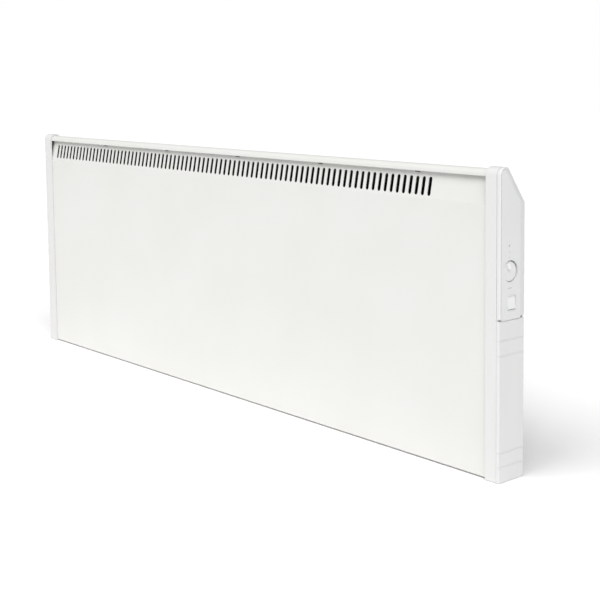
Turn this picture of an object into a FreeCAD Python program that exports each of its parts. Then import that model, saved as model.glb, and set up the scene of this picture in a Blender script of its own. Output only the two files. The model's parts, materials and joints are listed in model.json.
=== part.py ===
import FreeCAD, Part
import math
import os

# Slim electric wall convector, millimetres. X runs along the case, +X is the control end.
# -Y is the front, +Y the wall side, +Z is up. The origin is under the middle of the case.
# A height is measured up from the floor, a drop down from the top of the case.

# ---- case -------------------------------------------------------------------------------
CASE_LENGTH = 1134.0        # left side face to the face of the lower right cover
CASE_HEIGHT = 400.0
CASE_DEPTH = 48.8           # front of the end flanges to the back of the end caps
TOP_DEPTH = 17.2            # front face to the corner where the back slope begins
SLOPE_DROP = 45.0           # height that the back slope takes
TOP_FRONT_ROUND = 10.0
TOP_BACK_ROUND = 8.0
SLOPE_FOOT_ROUND = 4.0
BASE_ROUND = 2.0
SMALLEST_ROUND = 0.5

# ---- sheet metal ------------------------------------------------------------------------
SHEET = 1.0
PANEL_SETBACK = 3.0         # front panel behind the flanges, rail below the cap tops
BACK_SETBACK = 2.4          # rail and back panel ahead of the cap backs
FOLD = 1.0                  # inside radius of the tight folds
HEM_FOLD = 0.3
PANEL_CLEAR = 2.0           # front panel above the floor
PANEL_BASE_RETURN = 10.0
PANEL_TOP_RETURN = 4.0
PANEL_LAP = 2.5             # top of the front panel above the foot of the rail's lip
LEAN_HEIGHT = 38.0          # upright size of the strip that leans back
LEAN_SETBACK = 7.5
LEAN_FOLD = 8.0
LIP_DROP = 12.5             # cap top to the lower edge of the rail's lip
LIP_RETURN = 3.5
RAIL_FLANGE = 15.0          # rail's flange over the back panel
BASE_PLATE_RISE = 8.0
BASE_PLATE_FLANGE = 12.0
BACK_PANEL_RISE = 9.0
BACK_PANEL_TUCK = 11.0      # back panel behind the rail's flange
PLATE_CLEAR = 1.0           # cross plates above the bottom plate's flanges
PLATE_FLANGE = 12.0

# ---- outlet and inlet slots -------------------------------------------------------------
SLOT_WIDTH = 6.1
SLOT_PITCH = 11.69
SLOT_LENGTH = 25.0
SLOT_FOOT = 3.5             # start of the leaning strip to the foot of a slot
SLOT_LEFT_MARGIN = 40.3
SLOT_RIGHT_MARGIN = 123.0
INLET_LENGTH = 26.0
INLET_WIDTH = 5.0
INLET_PITCH = 34.0
INLET_ROWS = 3
INLET_MARGIN = 50.0

# ---- end caps and covers ----------------------------------------------------------------
FLANGE_WIDTH = 22.4         # outer side face to the flange's inner edge
CAP_FIT = 0.2               # clearance of the caps round the sheet metal
COVER_DEPTH = 4.5           # part of the flange width that belongs to the side covers
COVER_WALL = 2.0
COVER_ROUND = 1.5
WEB = 2.0
PANEL_TUCK = 4.0            # sheet metal inside the caps
COVER_SEAM = 0.4            # shadow line between a side cover and its cap
HOUSING_SEAM = 0.8          # shadow line between the control housing and its cap
HOUSING_GAP = 0.3           # line between the lower cover and the control housing
GROOVE_WIDTH = 2.2
GROOVE_DEPTH = 0.5
GROOVE_HEIGHTS = (21.2, 39.4)
GROOVES_BELOW_HOUSING = (44.3, 25.2)
BOSS_RADIUS = 4.0
BOSS_SIDE = 11.5            # bosses either side of the middle of the case's depth
LOW_BOSS_HEIGHT = 34.0
HIGH_BOSS_BELOW_HOUSING = 11.6

# ---- control housing --------------------------------------------------------------------
HOUSING_DROP = 192.4
HOUSING_PROUD = 1.5         # housing face outside the lower cover
HOUSING_BACK_PROUD = 1.2    # housing back behind the cap back
HOUSING_FACE_WALL = 3.4
BACK_BEVEL = 11.2           # strips along the back edge and the slope that fall away
SLOPE_BEVEL = 7.5
BEVEL_FALL = 2.8
BEVEL_OVERRUN = 40.0        # cutting wedges past the ends of the edges they follow
RIM_LINE_SETBACK = 1.5      # line behind the front corner, up the side and over the top
RIM_LINE_WIDTH = 0.9
RIM_LINE_DEPTH = 0.8
NOTCH_DEPTH = 4.5           # recess in the lower front corner of the housing
NOTCH_RISE = 2.8
NOTCH_IN = 4.5              # recesses at the foot of the housing in from its face
REAR_NOTCH_INSET = 5.0      # housing back to the rear recess
REAR_NOTCH_LENGTH = 6.0
REAR_CHAMFER_RUN = 3.6
REAR_CHAMFER_RISE = 4.6
WINDOW_MARGIN = 7.0         # housing base to the foot of the window behind it
WINDOW_SIDE = 2.0
WINDOW_TOP = 1.5

# ---- dial -------------------------------------------------------------------------------
DIAL_LINE = 19.3            # flange front to the dial's centre
DIAL_DROP = 131.0
DIAL_RADIUS = 12.7
DIAL_SINK = 1.2             # dial's face below the housing face
DIAL_PROUD = 1.5            # ridge above the housing face
DIAL_LIFT = 0.4             # dial above the floor of its dish
DIAL_CHAMFER = 0.7
DIAL_WALL = 1.0             # plastic over the end of the shaft
DISH_GAP = 1.1
DISH_OFFSET = 0.5           # dish's centre up and back from the dial's, so its gap is wide there
DISH_DEPTH = 4.8
DISH_WALL = 1.2
HUB_RADIUS = 5.0
HUB_FIT = 0.6
SHAFT_RADIUS = 3.0
SHAFT_FIT = 0.05
SHAFT_END_GAP = 0.5
RIDGE_WIDTH = 6.0
RIDGE_START = 2.5           # dial's centre to the inner end of the ridge
RIDGE_RIM = 0.7             # outer end of the ridge inside the dial's edge
RIDGE_ROUND = 1.2
DIAL_REST_TURN = 24.0       # degrees the ridge leans to the front at rest
MARKER_WIDTH = 3.6
MARKER_DEPTH = 0.4
MARKER_MARGIN = 1.2

# ---- switch -----------------------------------------------------------------------------
SWITCH_DROP = 170.8
SWITCH_LINE = 21.6          # flange front to the switch's middle
SWITCH_WIDTH = 18.4
SWITCH_TALL = 20.5
SWITCH_FRAME = 1.5
SWITCH_ROUND = 2.0
BEZEL_PROUD = 0.4
BARREL_SHRINK = 0.4         # barrel inside the bezel's outline
WELL_DEPTH = 10.0
SWITCH_DEEP = 20.0
ROCKER_FIT = 0.35
PIVOT_DEPTH = 2.2           # pivot behind the housing face
PIVOT_PIN = 1.2
PIVOT_FIT = 0.05
PIN_REACH = 0.5             # pins into the barrel's walls
PIN_END_GAP = 0.2
ROCKER_TIP = 2.6            # pivot to the ends of the rocker's face
ROCKER_HOLLOW = 0.7
ROCKER_FOOT = 2.2           # pivot to the underside
ROCKER_TILT = 8.0           # degrees either side of level
BLADE_LENGTH = 8.0
BLADE_WIDTH = 4.8
BLADE = 0.8
BLADE_STEP = 6.0

# ---- lamp and marks ---------------------------------------------------------------------
LAMP_DROP = 98.4
LAMP_LINE = 17.6            # flange front to the line of the lamp and the marks above the dial
LENS_RADIUS = 1.4
LENS_COLLAR = 1.0
LENS_PROUD = 0.3
LAMP_RADIUS = 1.2
LAMP_LENGTH = 5.0
LAMP_GAP = 0.5
DOT_DROP = 106.4
DOT_RADIUS = 0.8
INDEX_DROP = 114.5
INDEX_HALF = 1.4
MARK_DROP = 151.8
MARK_LINE = 18.35           # flange front to the middle of the dash below the dial
MARK_LENGTH = 6.7
MARK_WIDTH = 1.0
MARK_DEPTH = 0.8

# ---- control board ----------------------------------------------------------------------
BOARD = 1.6
BOARD_BACKSET = 15.0        # housing face to the board's outer face
BOARD_LENGTH = 95.0
BOARD_TOP_GAP = 1.5         # board below the top of the window
BOARD_FRONT_GAP = 6.5       # panel's inside to the front row of posts
BOARD_BACK_GAP = 9.0
BOARD_MARGIN = 4.0          # row of posts to the board's edge
POST_MARGIN = 5.0
POST_RADIUS = 3.0
POST_BORE_DEPTH = 8.0
BOARD_SCREW = 7.0
POT_HALF = 8.0
POT_DEEP = 6.0
POT_BUSH_WALL = 1.4
POT_FLOOR = 1.0
POT_GAP = 0.5
RELAY_DEEP = 9.0
RELAY_WIDTH = 15.0
RELAY_TALL = 24.0
RELAY_DROP = 12.0
RELAY_FRONT = 3.0           # relay in front of the dial's centre
BOARD_BLOCK_DEEP = 8.0
BOARD_BLOCK_WIDTH = 16.0
BOARD_BLOCK_TALL = 10.0
BOARD_BLOCK_RISE = 2.0
BOARD_BLOCK_FRONT = 6.0     # block in front of the dial's centre
BOARD_MOUTHS = (-3.0, 2.0, 7.0)
BOARD_MOUTH_RADIUS = 1.6
BOARD_MOUTH_DEEP = 7.0

# ---- heating element --------------------------------------------------------------------
CONTROL_LENGTH = 113.0      # right side face to the bulkhead
SHIELD = 0.8
SHIELD_STANDOFF = 8.3
SHIELD_FOOT = 60.0
SHIELD_TOP_DROP = 16.0
SHIELD_SLOPE_GAP = 4.0      # leaning top of the shield inside the rail's slope
SHIELD_LEFT_GAP = 14.0
SHIELD_END_DROP = 6.0       # end flanges stop below the lean
SHIELD_RIGHT_GAP = 2.0
ELEMENT_HEIGHT = 108.0
ELEMENT_LEFT_MARGIN = 70.0
ELEMENT_RIGHT_GAP = 18.0    # fins to the bulkhead
FIN_REACH = 32.0
FIN_ANGLE = 68.0            # degrees from level
FIN = 1.6
FIN_ROOT = 1.0
CORE_RADIUS = 6.5
ROD_RADIUS = 4.2
ROD_FIT = 0.05
ROD_OVERHANG = 24.0
ROD_HOLE_GAP = 3.0
TERMINAL_PIN = 1.6
TERMINAL_PIN_LENGTH = 7.0
BUSH_RADIUS = 7.0
BUSH_LENGTH = 12.0
BRACKET = 1.2
BRACKET_GAP = 7.0
BRACKET_HALF = 28.0
BRACKET_FRONT_GAP = 3.0
BRACKET_FOOT = 14.0
BRACKET_SCREW_IN = 9.0
BRACKET_SCREW_SIDE = 22.0
BRACKET_SCREW = 5.0
CUTOUT_LEFT = 70.0          # thermal cut-out to the bulkhead
CUTOUT_DROP = 110.0
CUTOUT_RADIUS = 8.0
CUTOUT_CAN = 6.0
CUTOUT_BASE = 3.0
CUTOUT_BASE_RADIUS = 7.0
CUTOUT_BLADE = 5.0
CUTOUT_BLADE_SIDE = 4.0
CUTOUT_BLADE_HALF = 3.0
CLIP_PLATE = 1.0
CLIP_PLATE_HALF = 16.0
CLIP_PLATE_TALL = 5.0

# ---- wiring space -----------------------------------------------------------------------
BLOCK_LEFT = 22.0           # bulkhead to the terminal block
BLOCK_HEIGHT = 70.0
BLOCK_TALL = 20.0
BLOCK_DEEP = 16.0
BLOCK_WAYS = 3
BLOCK_PITCH = 10.0
BLOCK_EDGE = 6.0
BLOCK_MOUTH_BACK = 7.0      # back panel to the wire mouths
BLOCK_MOUTH_RADIUS = 1.8
BLOCK_WELL_RADIUS = 2.15
BLOCK_SCREW_FIT = 0.05
BLOCK_SCREW_SINK = 1.0
BLOCK_SLOT = 0.8
GROMMET_HEIGHT = 44.0
GROMMET_RADIUS = 6.0
GROMMET_LIP = 2.0
GROMMET_WALL = 2.5
EARTH_LEFT = 26.0
EARTH_HEIGHT = 36.0
EARTH_STUD = 2.0
EARTH_STUD_LENGTH = 12.0
EARTH_NUT = 3.2
EARTH_NUT_FLATS = 7.0
EARTH_TAG = 0.8
EARTH_TAG_RADIUS = 4.2
EARTH_TAG_REACH = 10.0
EARTH_NECK = 6.0
EARTH_NECK_HALF = 1.6
EARTH_BARREL = 1.9
EARTH_BARREL_LENGTH = 5.0
SENSOR_LEFT = 84.0
SENSOR_RADIUS = 2.5
SENSOR_LENGTH = 13.0
SENSOR_LIFT = 1.0
HOLDER_HALF_X = 6.0
HOLDER_HALF_Y = 5.0
HOLDER_TALL = 10.0

# ---- wall fixing and cable inlet --------------------------------------------------------
INSERT_SPACING_X = 620.0
INSERT_HEIGHT = 80.0        # lower row
INSERT_DROP = 120.0         # upper row
INSERT_BORE = 2.5
INSERT_SHANK = 3.5
INSERT_FLANGE = 5.0
INSERT_FLANGE_DEPTH = 0.8
INSERT_LENGTH = 8.0
GLAND_RIGHT_MARGIN = 42.0
GLAND_HEIGHT = 46.0
GLAND_BORE = 4.2
GLAND_BODY = 7.0
GLAND_FLANGE = 10.0
GLAND_FLANGE_DEPTH = 3.0
GLAND_LENGTH = 20.0
NUT_DEPTH = 4.5
NUT_RIM = 6.0

# ---- fasteners, clips and wires ---------------------------------------------------------
SCREW_RADIUS = 1.5
SCREW_HEAD = 3.2
SCREW_HEAD_DEPTH = 1.8
SCREW_CROWN = 0.7
SCREW_RECESS_RADIUS = 1.2
SCREW_RECESS_DEPTH = 1.1
RAIL_SCREW_SHARES = (0.1, 0.3, 0.5, 0.7, 0.9)
RAIL_SCREW = 6.0
CASE_SCREW = 10.0
CLIP_COUNT = 5
CLIP_WIDTH = 7.0
CLIP_FIRST = 207.8          # left side face to the first clip
CLIP_SPACING = 194.8
CLIP_HANG = 1.6             # clip below the rail's lip
WIRE_RADIUS = 1.3
WIRE_CLEAR = 0.7            # board wires behind the end of the switch
WIRE_GRIP = 3.0             # wire inside a terminal, and small sideways steps
WIRE_SWAY = 5.0
RISER = 20.0                # straight wire above the terminal block
LOOP = 12.0
BLADE_LEAD = 10.0           # straight wire before a blade or a board terminal
BOARD_LEAD = 17.0
EARTH_LEAD = 8.0
SENSOR_LEAD_FRONT = 10.5    # sensor lead in front of the dial's centre
SENSOR_RISE_SHARES = (0.17, 0.48, 0.78)
SENSOR_LEAD_RADIUS = 0.9
TIGHTEST_ARC_SHARE = 0.45   # of the shorter run beside a bend

# ---- cutting tools and tolerances -------------------------------------------------------
CUT = 1.0                   # how far a cutting tool passes through what it cuts
FAR = 5.0                   # how far a slab used to trim a shell reaches past it
TINY = 0.01
NOTHING = 1e-6

# ---- places that follow from the sizes --------------------------------------------------
LEFT = -(CASE_LENGTH + HOUSING_PROUD + DIAL_PROUD) / 2
RIGHT = LEFT + CASE_LENGTH
HOUSING_FACE = RIGHT + HOUSING_PROUD
DIAL_TOP = HOUSING_FACE + DIAL_PROUD
FRONT = -(CASE_DEPTH + HOUSING_BACK_PROUD) / 2
CASE_BACK = FRONT + CASE_DEPTH
TOP_CORNER_Y = FRONT + TOP_DEPTH
HOUSING_BACK = CASE_BACK + HOUSING_BACK_PROUD
HOUSING_BASE = CASE_HEIGHT - HOUSING_DROP
PANEL_FACE = FRONT + PANEL_SETBACK
PANEL_INSIDE = PANEL_FACE + SHEET
RAIL_BACK = CASE_BACK - BACK_SETBACK
BACK_OUTSIDE = RAIL_BACK - SHEET
BACK_INSIDE = BACK_OUTSIDE - SHEET
MIDDLE_Y = (PANEL_INSIDE + BACK_INSIDE) / 2
LIP_FOOT = CASE_HEIGHT - LIP_DROP
PANEL_TOP = LIP_FOOT + PANEL_LAP
LEAN_FOOT = PANEL_TOP - LEAN_HEIGHT
PLATE_FOOT = BASE_PLATE_RISE + BASE_PLATE_FLANGE + PLATE_CLEAR
PLATE_TOP = LEAN_FOOT - LEAN_FOLD
SHEET_LEFT = LEFT + FLANGE_WIDTH - PANEL_TUCK
SHEET_RIGHT = RIGHT - FLANGE_WIDTH + PANEL_TUCK
LEFT_SEAM = LEFT + COVER_DEPTH
RIGHT_SEAM = RIGHT - COVER_DEPTH
BULKHEAD = RIGHT - CONTROL_LENGTH
SHIELD_FACE = BACK_INSIDE - SHIELD_STANDOFF
ELEMENT_DEPTH = (PANEL_INSIDE + SHIELD_FACE) / 2
FINS_LEFT = LEFT + ELEMENT_LEFT_MARGIN
FINS_RIGHT = BULKHEAD - ELEMENT_RIGHT_GAP
ROD_LEFT = FINS_LEFT - ROD_OVERHANG
ROD_RIGHT = FINS_RIGHT + ROD_OVERHANG
DIAL_Y = FRONT + DIAL_LINE
SWITCH_Y = FRONT + SWITCH_LINE
LAMP_Y = FRONT + LAMP_LINE
MARK_Y = FRONT + MARK_LINE
DIAL_HEIGHT = CASE_HEIGHT - DIAL_DROP
DIAL_FACE = HOUSING_FACE - DIAL_SINK
DISH_FLOOR = HOUSING_FACE - DISH_DEPTH
DISH_UNDER = DISH_FLOOR - DISH_WALL
DISH_RADIUS = DIAL_RADIUS + DISH_GAP
SWITCH_HEIGHT = CASE_HEIGHT - SWITCH_DROP
LAMP_HEIGHT = CASE_HEIGHT - LAMP_DROP
PIVOT_X = HOUSING_FACE - PIVOT_DEPTH
BOARD_FACE = HOUSING_FACE - BOARD_BACKSET
BOARD_REAR = BOARD_FACE - BOARD
WINDOW_FOOT = HOUSING_BASE + WINDOW_MARGIN
WINDOW_HEAD = PLATE_TOP - WINDOW_TOP
BOARD_TOP = WINDOW_HEAD - BOARD_TOP_GAP
BOARD_FOOT = BOARD_TOP - BOARD_LENGTH
BOARD_BLOCK_FOOT = BOARD_FOOT + BOARD_BLOCK_RISE
BOARD_MOUTH_X = HOUSING_FACE - SWITCH_DEEP - WIRE_RADIUS - WIRE_CLEAR
BLADE_END = HOUSING_FACE - SWITCH_DEEP - BLADE_LENGTH
GLAND_X = RIGHT - GLAND_RIGHT_MARGIN
CUTOUT_X = BULKHEAD - CUTOUT_LEFT
CUTOUT_HEIGHT = CASE_HEIGHT - CUTOUT_DROP
BLOCK_X = BULKHEAD + BLOCK_LEFT
BLOCK_MOUTH_Y = BACK_INSIDE - BLOCK_MOUTH_BACK
BLOCK_GRIP = BLOCK_HEIGHT + BLOCK_TALL / 2
BLOCK_PLACES = [BLOCK_X + BLOCK_EDGE + BLOCK_PITCH * way for way in range(BLOCK_WAYS)]
EARTH_X = BULKHEAD + EARTH_LEFT
SENSOR_X = BULKHEAD + SENSOR_LEFT
SENSOR_FOOT = BASE_PLATE_RISE + SHEET
SENSOR_HEAD = SENSOR_FOOT + SENSOR_LIFT + SENSOR_LENGTH
BOSS_HEIGHTS = (LOW_BOSS_HEIGHT, HOUSING_BASE - HIGH_BOSS_BELOW_HOUSING)
BOSS_SPOTS = [(MIDDLE_Y + side * BOSS_SIDE, height) for side in (-1, 1) for height in BOSS_HEIGHTS]
ALL_GROOVES = list(GROOVE_HEIGHTS) + [HOUSING_BASE - below for below in GROOVES_BELOW_HOUSING]


def box(x0, x1, y0, y1, z0, z1):
    return Part.makeBox(x1 - x0, y1 - y0, z1 - z0, FreeCAD.Vector(x0, y0, z0))


def rod_x(x0, x1, y, z, radius):
    return Part.makeCylinder(radius, x1 - x0, FreeCAD.Vector(x0, y, z), FreeCAD.Vector(1, 0, 0))


def rod_y(y0, y1, x, z, radius):
    return Part.makeCylinder(radius, y1 - y0, FreeCAD.Vector(x, y0, z), FreeCAD.Vector(0, 1, 0))


def rod_z(z0, z1, x, y, radius):
    return Part.makeCylinder(radius, z1 - z0, FreeCAD.Vector(x, y, z0), FreeCAD.Vector(0, 0, 1))


def fuse(shapes):
    return shapes[0].multiFuse(shapes[1:]).removeSplitter()


def cut_all(shape, tools):
    return shape.cut(Part.makeCompound(tools))


def rounded_corner(before, here, after, radius):
    """Start, middle and end of the arc of this radius that rounds the corner at here."""
    back = (before - here).normalize()
    ahead = (after - here).normalize()
    half_turn = (math.pi - back.getAngle(ahead)) / 2
    reach = radius * math.tan(half_turn)
    middle = here + (back + ahead).normalize() * (radius / math.cos(half_turn) - radius)
    return here + back * reach, middle, here + ahead * reach


def outline(corners, x):
    """Closed wire in the plane X = x through corners (y, z, radius)."""
    points = [FreeCAD.Vector(x, y, z) for y, z, _ in corners]
    arcs = []
    for index, (_, _, radius) in enumerate(corners):
        here = points[index]
        if radius > 0:
            arcs.append(rounded_corner(points[index - 1], here, points[(index + 1) % len(points)], radius))
        else:
            arcs.append((here, here, here))
    edges = []
    for index, (start, middle, end) in enumerate(arcs):
        if start.distanceToPoint(end) > NOTHING:
            edges.append(Part.Arc(start, middle, end).toShape())
        following = arcs[(index + 1) % len(arcs)][0]
        if end.distanceToPoint(following) > NOTHING:
            edges.append(Part.LineSegment(end, following).toShape())
    return Part.Wire(edges)


def prism(corners, x0, x1):
    return Part.Face(outline(corners, x0)).extrude(FreeCAD.Vector(x1 - x0, 0, 0))


def bent_sheet(line, folds, wall, x0, x1):
    """Sheet folded along line, its wall on the left of the walk; folds are inside radii."""
    walks = []
    for start, end in zip(line, line[1:]):
        length = math.hypot(end[0] - start[0], end[1] - start[1])
        walks.append(((end[0] - start[0]) / length, (end[1] - start[1]) / length))
    lefts = [(-dz, dy) for dy, dz in walks]
    near = [(line[0][0], line[0][1], 0)]
    far = [(line[0][0] + wall * lefts[0][0], line[0][1] + wall * lefts[0][1], 0)]
    for index in range(1, len(line) - 1):
        a, b = lefts[index - 1], lefts[index]
        share = wall / (1 + a[0] * b[0] + a[1] * b[1])
        turns_left = walks[index - 1][0] * walks[index][1] - walks[index - 1][1] * walks[index][0] > 0
        inner, outer = folds[index - 1], folds[index - 1] + wall
        y, z = line[index]
        near.append((y, z, outer if turns_left else inner))
        far.append((y + share * (a[0] + b[0]), z + share * (a[1] + b[1]), inner if turns_left else outer))
    near.append((line[-1][0], line[-1][1], 0))
    far.append((line[-1][0] + wall * lefts[-1][0], line[-1][1] + wall * lefts[-1][1], 0))
    return prism(near + far[::-1], x0, x1)


def case_corners(front=0.0, top=0.0, slope=0.0, back=0.0, base=0.0, rear=CASE_BACK):
    """Corners (y, z, radius) of the case seen from its end, each side drawn in by its depth."""
    fall = SLOPE_DROP / (CASE_BACK - TOP_CORNER_Y)
    points = [
        (FRONT, 0.0, BASE_ROUND),
        (FRONT, CASE_HEIGHT, TOP_FRONT_ROUND),
        (TOP_CORNER_Y, CASE_HEIGHT, TOP_BACK_ROUND),
        (rear, CASE_HEIGHT - fall * (rear - TOP_CORNER_Y), SLOPE_FOOT_ROUND),
        (rear, 0.0, BASE_ROUND),
    ]
    depths = [front, top, slope, back, base]
    sides = []
    for index, (y, z, _) in enumerate(points):
        next_y, next_z, _ = points[(index + 1) % len(points)]
        length = math.hypot(next_y - y, next_z - z)
        dy, dz = (next_y - y) / length, (next_z - z) / length
        sides.append((y + depths[index] * dz, z - depths[index] * dy, dy, dz))
    corners = []
    for index, (_, _, radius) in enumerate(points):
        y1, z1, dy1, dz1 = sides[index - 1]
        y2, z2, dy2, dz2 = sides[index]
        along = ((y2 - y1) * dz2 - (z2 - z1) * dy2) / (dy1 * dz2 - dz1 * dy2)
        kept = max(radius - min(depths[index - 1], depths[index]), SMALLEST_ROUND)
        corners.append((y1 + along * dy1, z1 + along * dz1, kept))
    return corners


def even_corners(depth, rear=CASE_BACK):
    return case_corners(depth, depth, depth, depth, depth, rear)


def upright_slot(x, z0, z1, width, y0, y1):
    """Round-ended upright slot through y0 to y1."""
    radius = width / 2
    body = box(x - radius, x + radius, y0, y1, z0 + radius, z1 - radius)
    return fuse([body] + [rod_y(y0, y1, x, z, radius) for z in (z0 + radius, z1 - radius)])


def screw(place, direction, length):
    """Pan-head screw: place is the seat under its head, direction the way the shank points."""
    shank = Part.makeCylinder(SCREW_RADIUS, length, place, direction)
    head = Part.makeCylinder(SCREW_HEAD, SCREW_HEAD_DEPTH, place, direction * -1)
    top = place - direction * SCREW_HEAD_DEPTH
    crown = [edge for edge in head.Edges if edge.Closed and edge.CenterOfMass.distanceToPoint(top) < TINY]
    head = head.makeFillet(SCREW_CROWN, crown)
    recess = Part.makeCylinder(SCREW_RECESS_RADIUS, SCREW_RECESS_DEPTH, top, direction)
    return head.fuse(shank).cut(recess).removeSplitter()


def wire(points, radius=WIRE_RADIUS):
    """Round wire along straight runs joined by tangent arcs."""
    path = [FreeCAD.Vector(*point) for point in points]
    spans = [(path[0], path[0], path[0])]
    for before, here, after in zip(path, path[1:], path[2:]):
        shorter = min(before.distanceToPoint(here), here.distanceToPoint(after))
        half_turn = (math.pi - (before - here).getAngle(after - here)) / 2
        bend = TIGHTEST_ARC_SHARE * shorter / math.tan(half_turn)
        spans.append(rounded_corner(before, here, after, bend))
    spans.append((path[-1], path[-1], path[-1]))
    edges = []
    for (start, middle, end), (following, _, _) in zip(spans, spans[1:]):
        if start.distanceToPoint(end) > NOTHING:
            edges.append(Part.Arc(start, middle, end).toShape())
        edges.append(Part.LineSegment(end, following).toShape())
    spine = Part.Wire(edges)
    section = Part.Wire(Part.makeCircle(radius, path[0], path[1] - path[0]))
    return spine.makePipeShell([section], True, False)


# ---- casing -----------------------------------------------------------------------------
def slot_places():
    first = LEFT + SLOT_LEFT_MARGIN
    count = int((CASE_LENGTH - SLOT_LEFT_MARGIN - SLOT_RIGHT_MARGIN) / SLOT_PITCH + NOTHING) + 1
    return [first + index * SLOT_PITCH for index in range(count)]


def strip_face(height):
    """Y of the outside of the front panel's leaning strip at this height."""
    return PANEL_FACE + LEAN_SETBACK * (height - LEAN_FOOT) / LEAN_HEIGHT


def front_panel():
    lean_top = PANEL_FACE + LEAN_SETBACK
    line = [
        (lean_top + PANEL_TOP_RETURN, PANEL_TOP),
        (lean_top, PANEL_TOP),
        (PANEL_FACE, LEAN_FOOT),
        (PANEL_FACE, PANEL_CLEAR),
        (PANEL_FACE + PANEL_BASE_RETURN, PANEL_CLEAR),
    ]
    panel = bent_sheet(line, [FOLD, LEAN_FOLD, FOLD], SHEET, SHEET_LEFT, SHEET_RIGHT)
    foot = LEAN_FOOT + SLOT_FOOT
    slots = [upright_slot(x, foot, foot + SLOT_LENGTH, SLOT_WIDTH, FRONT, lean_top + SHEET)
             for x in slot_places()]
    return cut_all(panel, slots)


def rail_corners():
    return case_corners(PANEL_SETBACK, PANEL_SETBACK, PANEL_SETBACK, BACK_SETBACK)


def rail_foot():
    return rail_corners()[3][1] - RAIL_FLANGE


def rail_screw_height():
    return rail_foot() + BACK_PANEL_TUCK / 2


def rail_screw_places():
    return [SHEET_LEFT + (SHEET_RIGHT - SHEET_LEFT) * share for share in RAIL_SCREW_SHARES]


def top_rail():
    corners = rail_corners()
    line = [(RAIL_BACK, rail_foot())]
    line += [(y, z) for y, z, _ in corners[3:0:-1]]
    line += [(PANEL_FACE, LIP_FOOT), (PANEL_FACE + LIP_RETURN, LIP_FOOT)]
    folds = [max(radius - SHEET, HEM_FOLD) for _, _, radius in corners[3:0:-1]] + [HEM_FOLD]
    rail = bent_sheet(line, folds, SHEET, SHEET_LEFT, SHEET_RIGHT)
    holes = [rod_y(BACK_OUTSIDE - CUT, RAIL_BACK + CUT, x, rail_screw_height(), SCREW_RADIUS)
             for x in rail_screw_places()]
    return cut_all(rail, holes)


def insert_places():
    return [(side * INSERT_SPACING_X / 2, height)
            for side in (-1, 1) for height in (INSERT_HEIGHT, CASE_HEIGHT - INSERT_DROP)]


def back_panel():
    panel = box(SHEET_LEFT, SHEET_RIGHT, BACK_INSIDE, BACK_OUTSIDE, BACK_PANEL_RISE,
                rail_foot() + BACK_PANEL_TUCK)
    y0, y1 = BACK_INSIDE - CUT, BACK_OUTSIDE + CUT
    holes = [rod_y(y0, y1, x, z, INSERT_SHANK) for x, z in insert_places()]
    holes += [rod_y(y0, y1, x, rail_screw_height(), SCREW_RADIUS) for x in rail_screw_places()]
    holes.append(rod_y(y0, y1, GLAND_X, GLAND_HEIGHT, GLAND_BODY))
    return cut_all(panel, holes)


def inlet_slot(x, y):
    """Round-ended slot through the bottom plate, long along the case."""
    z0, z1 = BASE_PLATE_RISE - CUT, BASE_PLATE_RISE + SHEET + CUT
    reach, radius = (INLET_LENGTH - INLET_WIDTH) / 2, INLET_WIDTH / 2
    ends = [rod_z(z0, z1, x + side * reach, y, radius) for side in (-1, 1)]
    return fuse([box(x - reach, x + reach, y - radius, y + radius, z0, z1)] + ends)


def bottom_plate():
    top = BASE_PLATE_RISE + BASE_PLATE_FLANGE
    line = [
        (PANEL_INSIDE, top),
        (PANEL_INSIDE, BASE_PLATE_RISE),
        (BACK_INSIDE, BASE_PLATE_RISE),
        (BACK_INSIDE, top),
    ]
    plate = bent_sheet(line, [FOLD, FOLD], SHEET, SHEET_LEFT, SHEET_RIGHT)
    columns = int((CASE_LENGTH - 2 * INLET_MARGIN - INLET_LENGTH) / INLET_PITCH) + 1
    first_x = (LEFT + RIGHT - (columns - 1) * INLET_PITCH) / 2
    row_step = (BACK_INSIDE - PANEL_INSIDE) / (INLET_ROWS + 1)
    slots = [inlet_slot(first_x + column * INLET_PITCH, PANEL_INSIDE + (row + 1) * row_step)
             for row in range(INLET_ROWS) for column in range(columns)]
    return cut_all(plate, slots)


def end_plate(outer, inward):
    """Cross plate at the end of the case, with a flange along the front and back panels."""
    x0, x1 = sorted((outer, outer + inward * PLATE_FLANGE))
    plate_x = sorted((outer, outer + inward * SHEET))
    plate = fuse([
        box(*plate_x, PANEL_INSIDE, BACK_INSIDE, PLATE_FOOT, PLATE_TOP),
        box(x0, x1, PANEL_INSIDE, PANEL_INSIDE + SHEET, PLATE_FOOT, PLATE_TOP),
        box(x0, x1, BACK_INSIDE - SHEET, BACK_INSIDE, PLATE_FOOT, PLATE_TOP),
    ])
    return cut_all(plate, [rod_x(x0 - CUT, x1 + CUT, y, z, SCREW_RADIUS) for y, z in BOSS_SPOTS])


def control_window(x0, x1):
    """Space that the control parts need through the right end plate and cap web."""
    return box(x0 - CUT, x1 + CUT, PANEL_INSIDE + WINDOW_SIDE, BACK_INSIDE - WINDOW_SIDE,
               WINDOW_FOOT, WINDOW_HEAD)


def bulkhead():
    x0, x1 = BULKHEAD - CUT, BULKHEAD + SHEET + CUT
    plate = box(BULKHEAD, BULKHEAD + SHEET, PANEL_INSIDE, BACK_INSIDE, PLATE_FOOT, PLATE_TOP)
    rod_hole = rod_x(x0, x1, ELEMENT_DEPTH, ELEMENT_HEIGHT, ROD_RADIUS + ROD_HOLE_GAP)
    return cut_all(plate, [rod_hole, rod_x(x0, x1, MIDDLE_Y, GROMMET_HEIGHT, GROMMET_RADIUS)])


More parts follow.
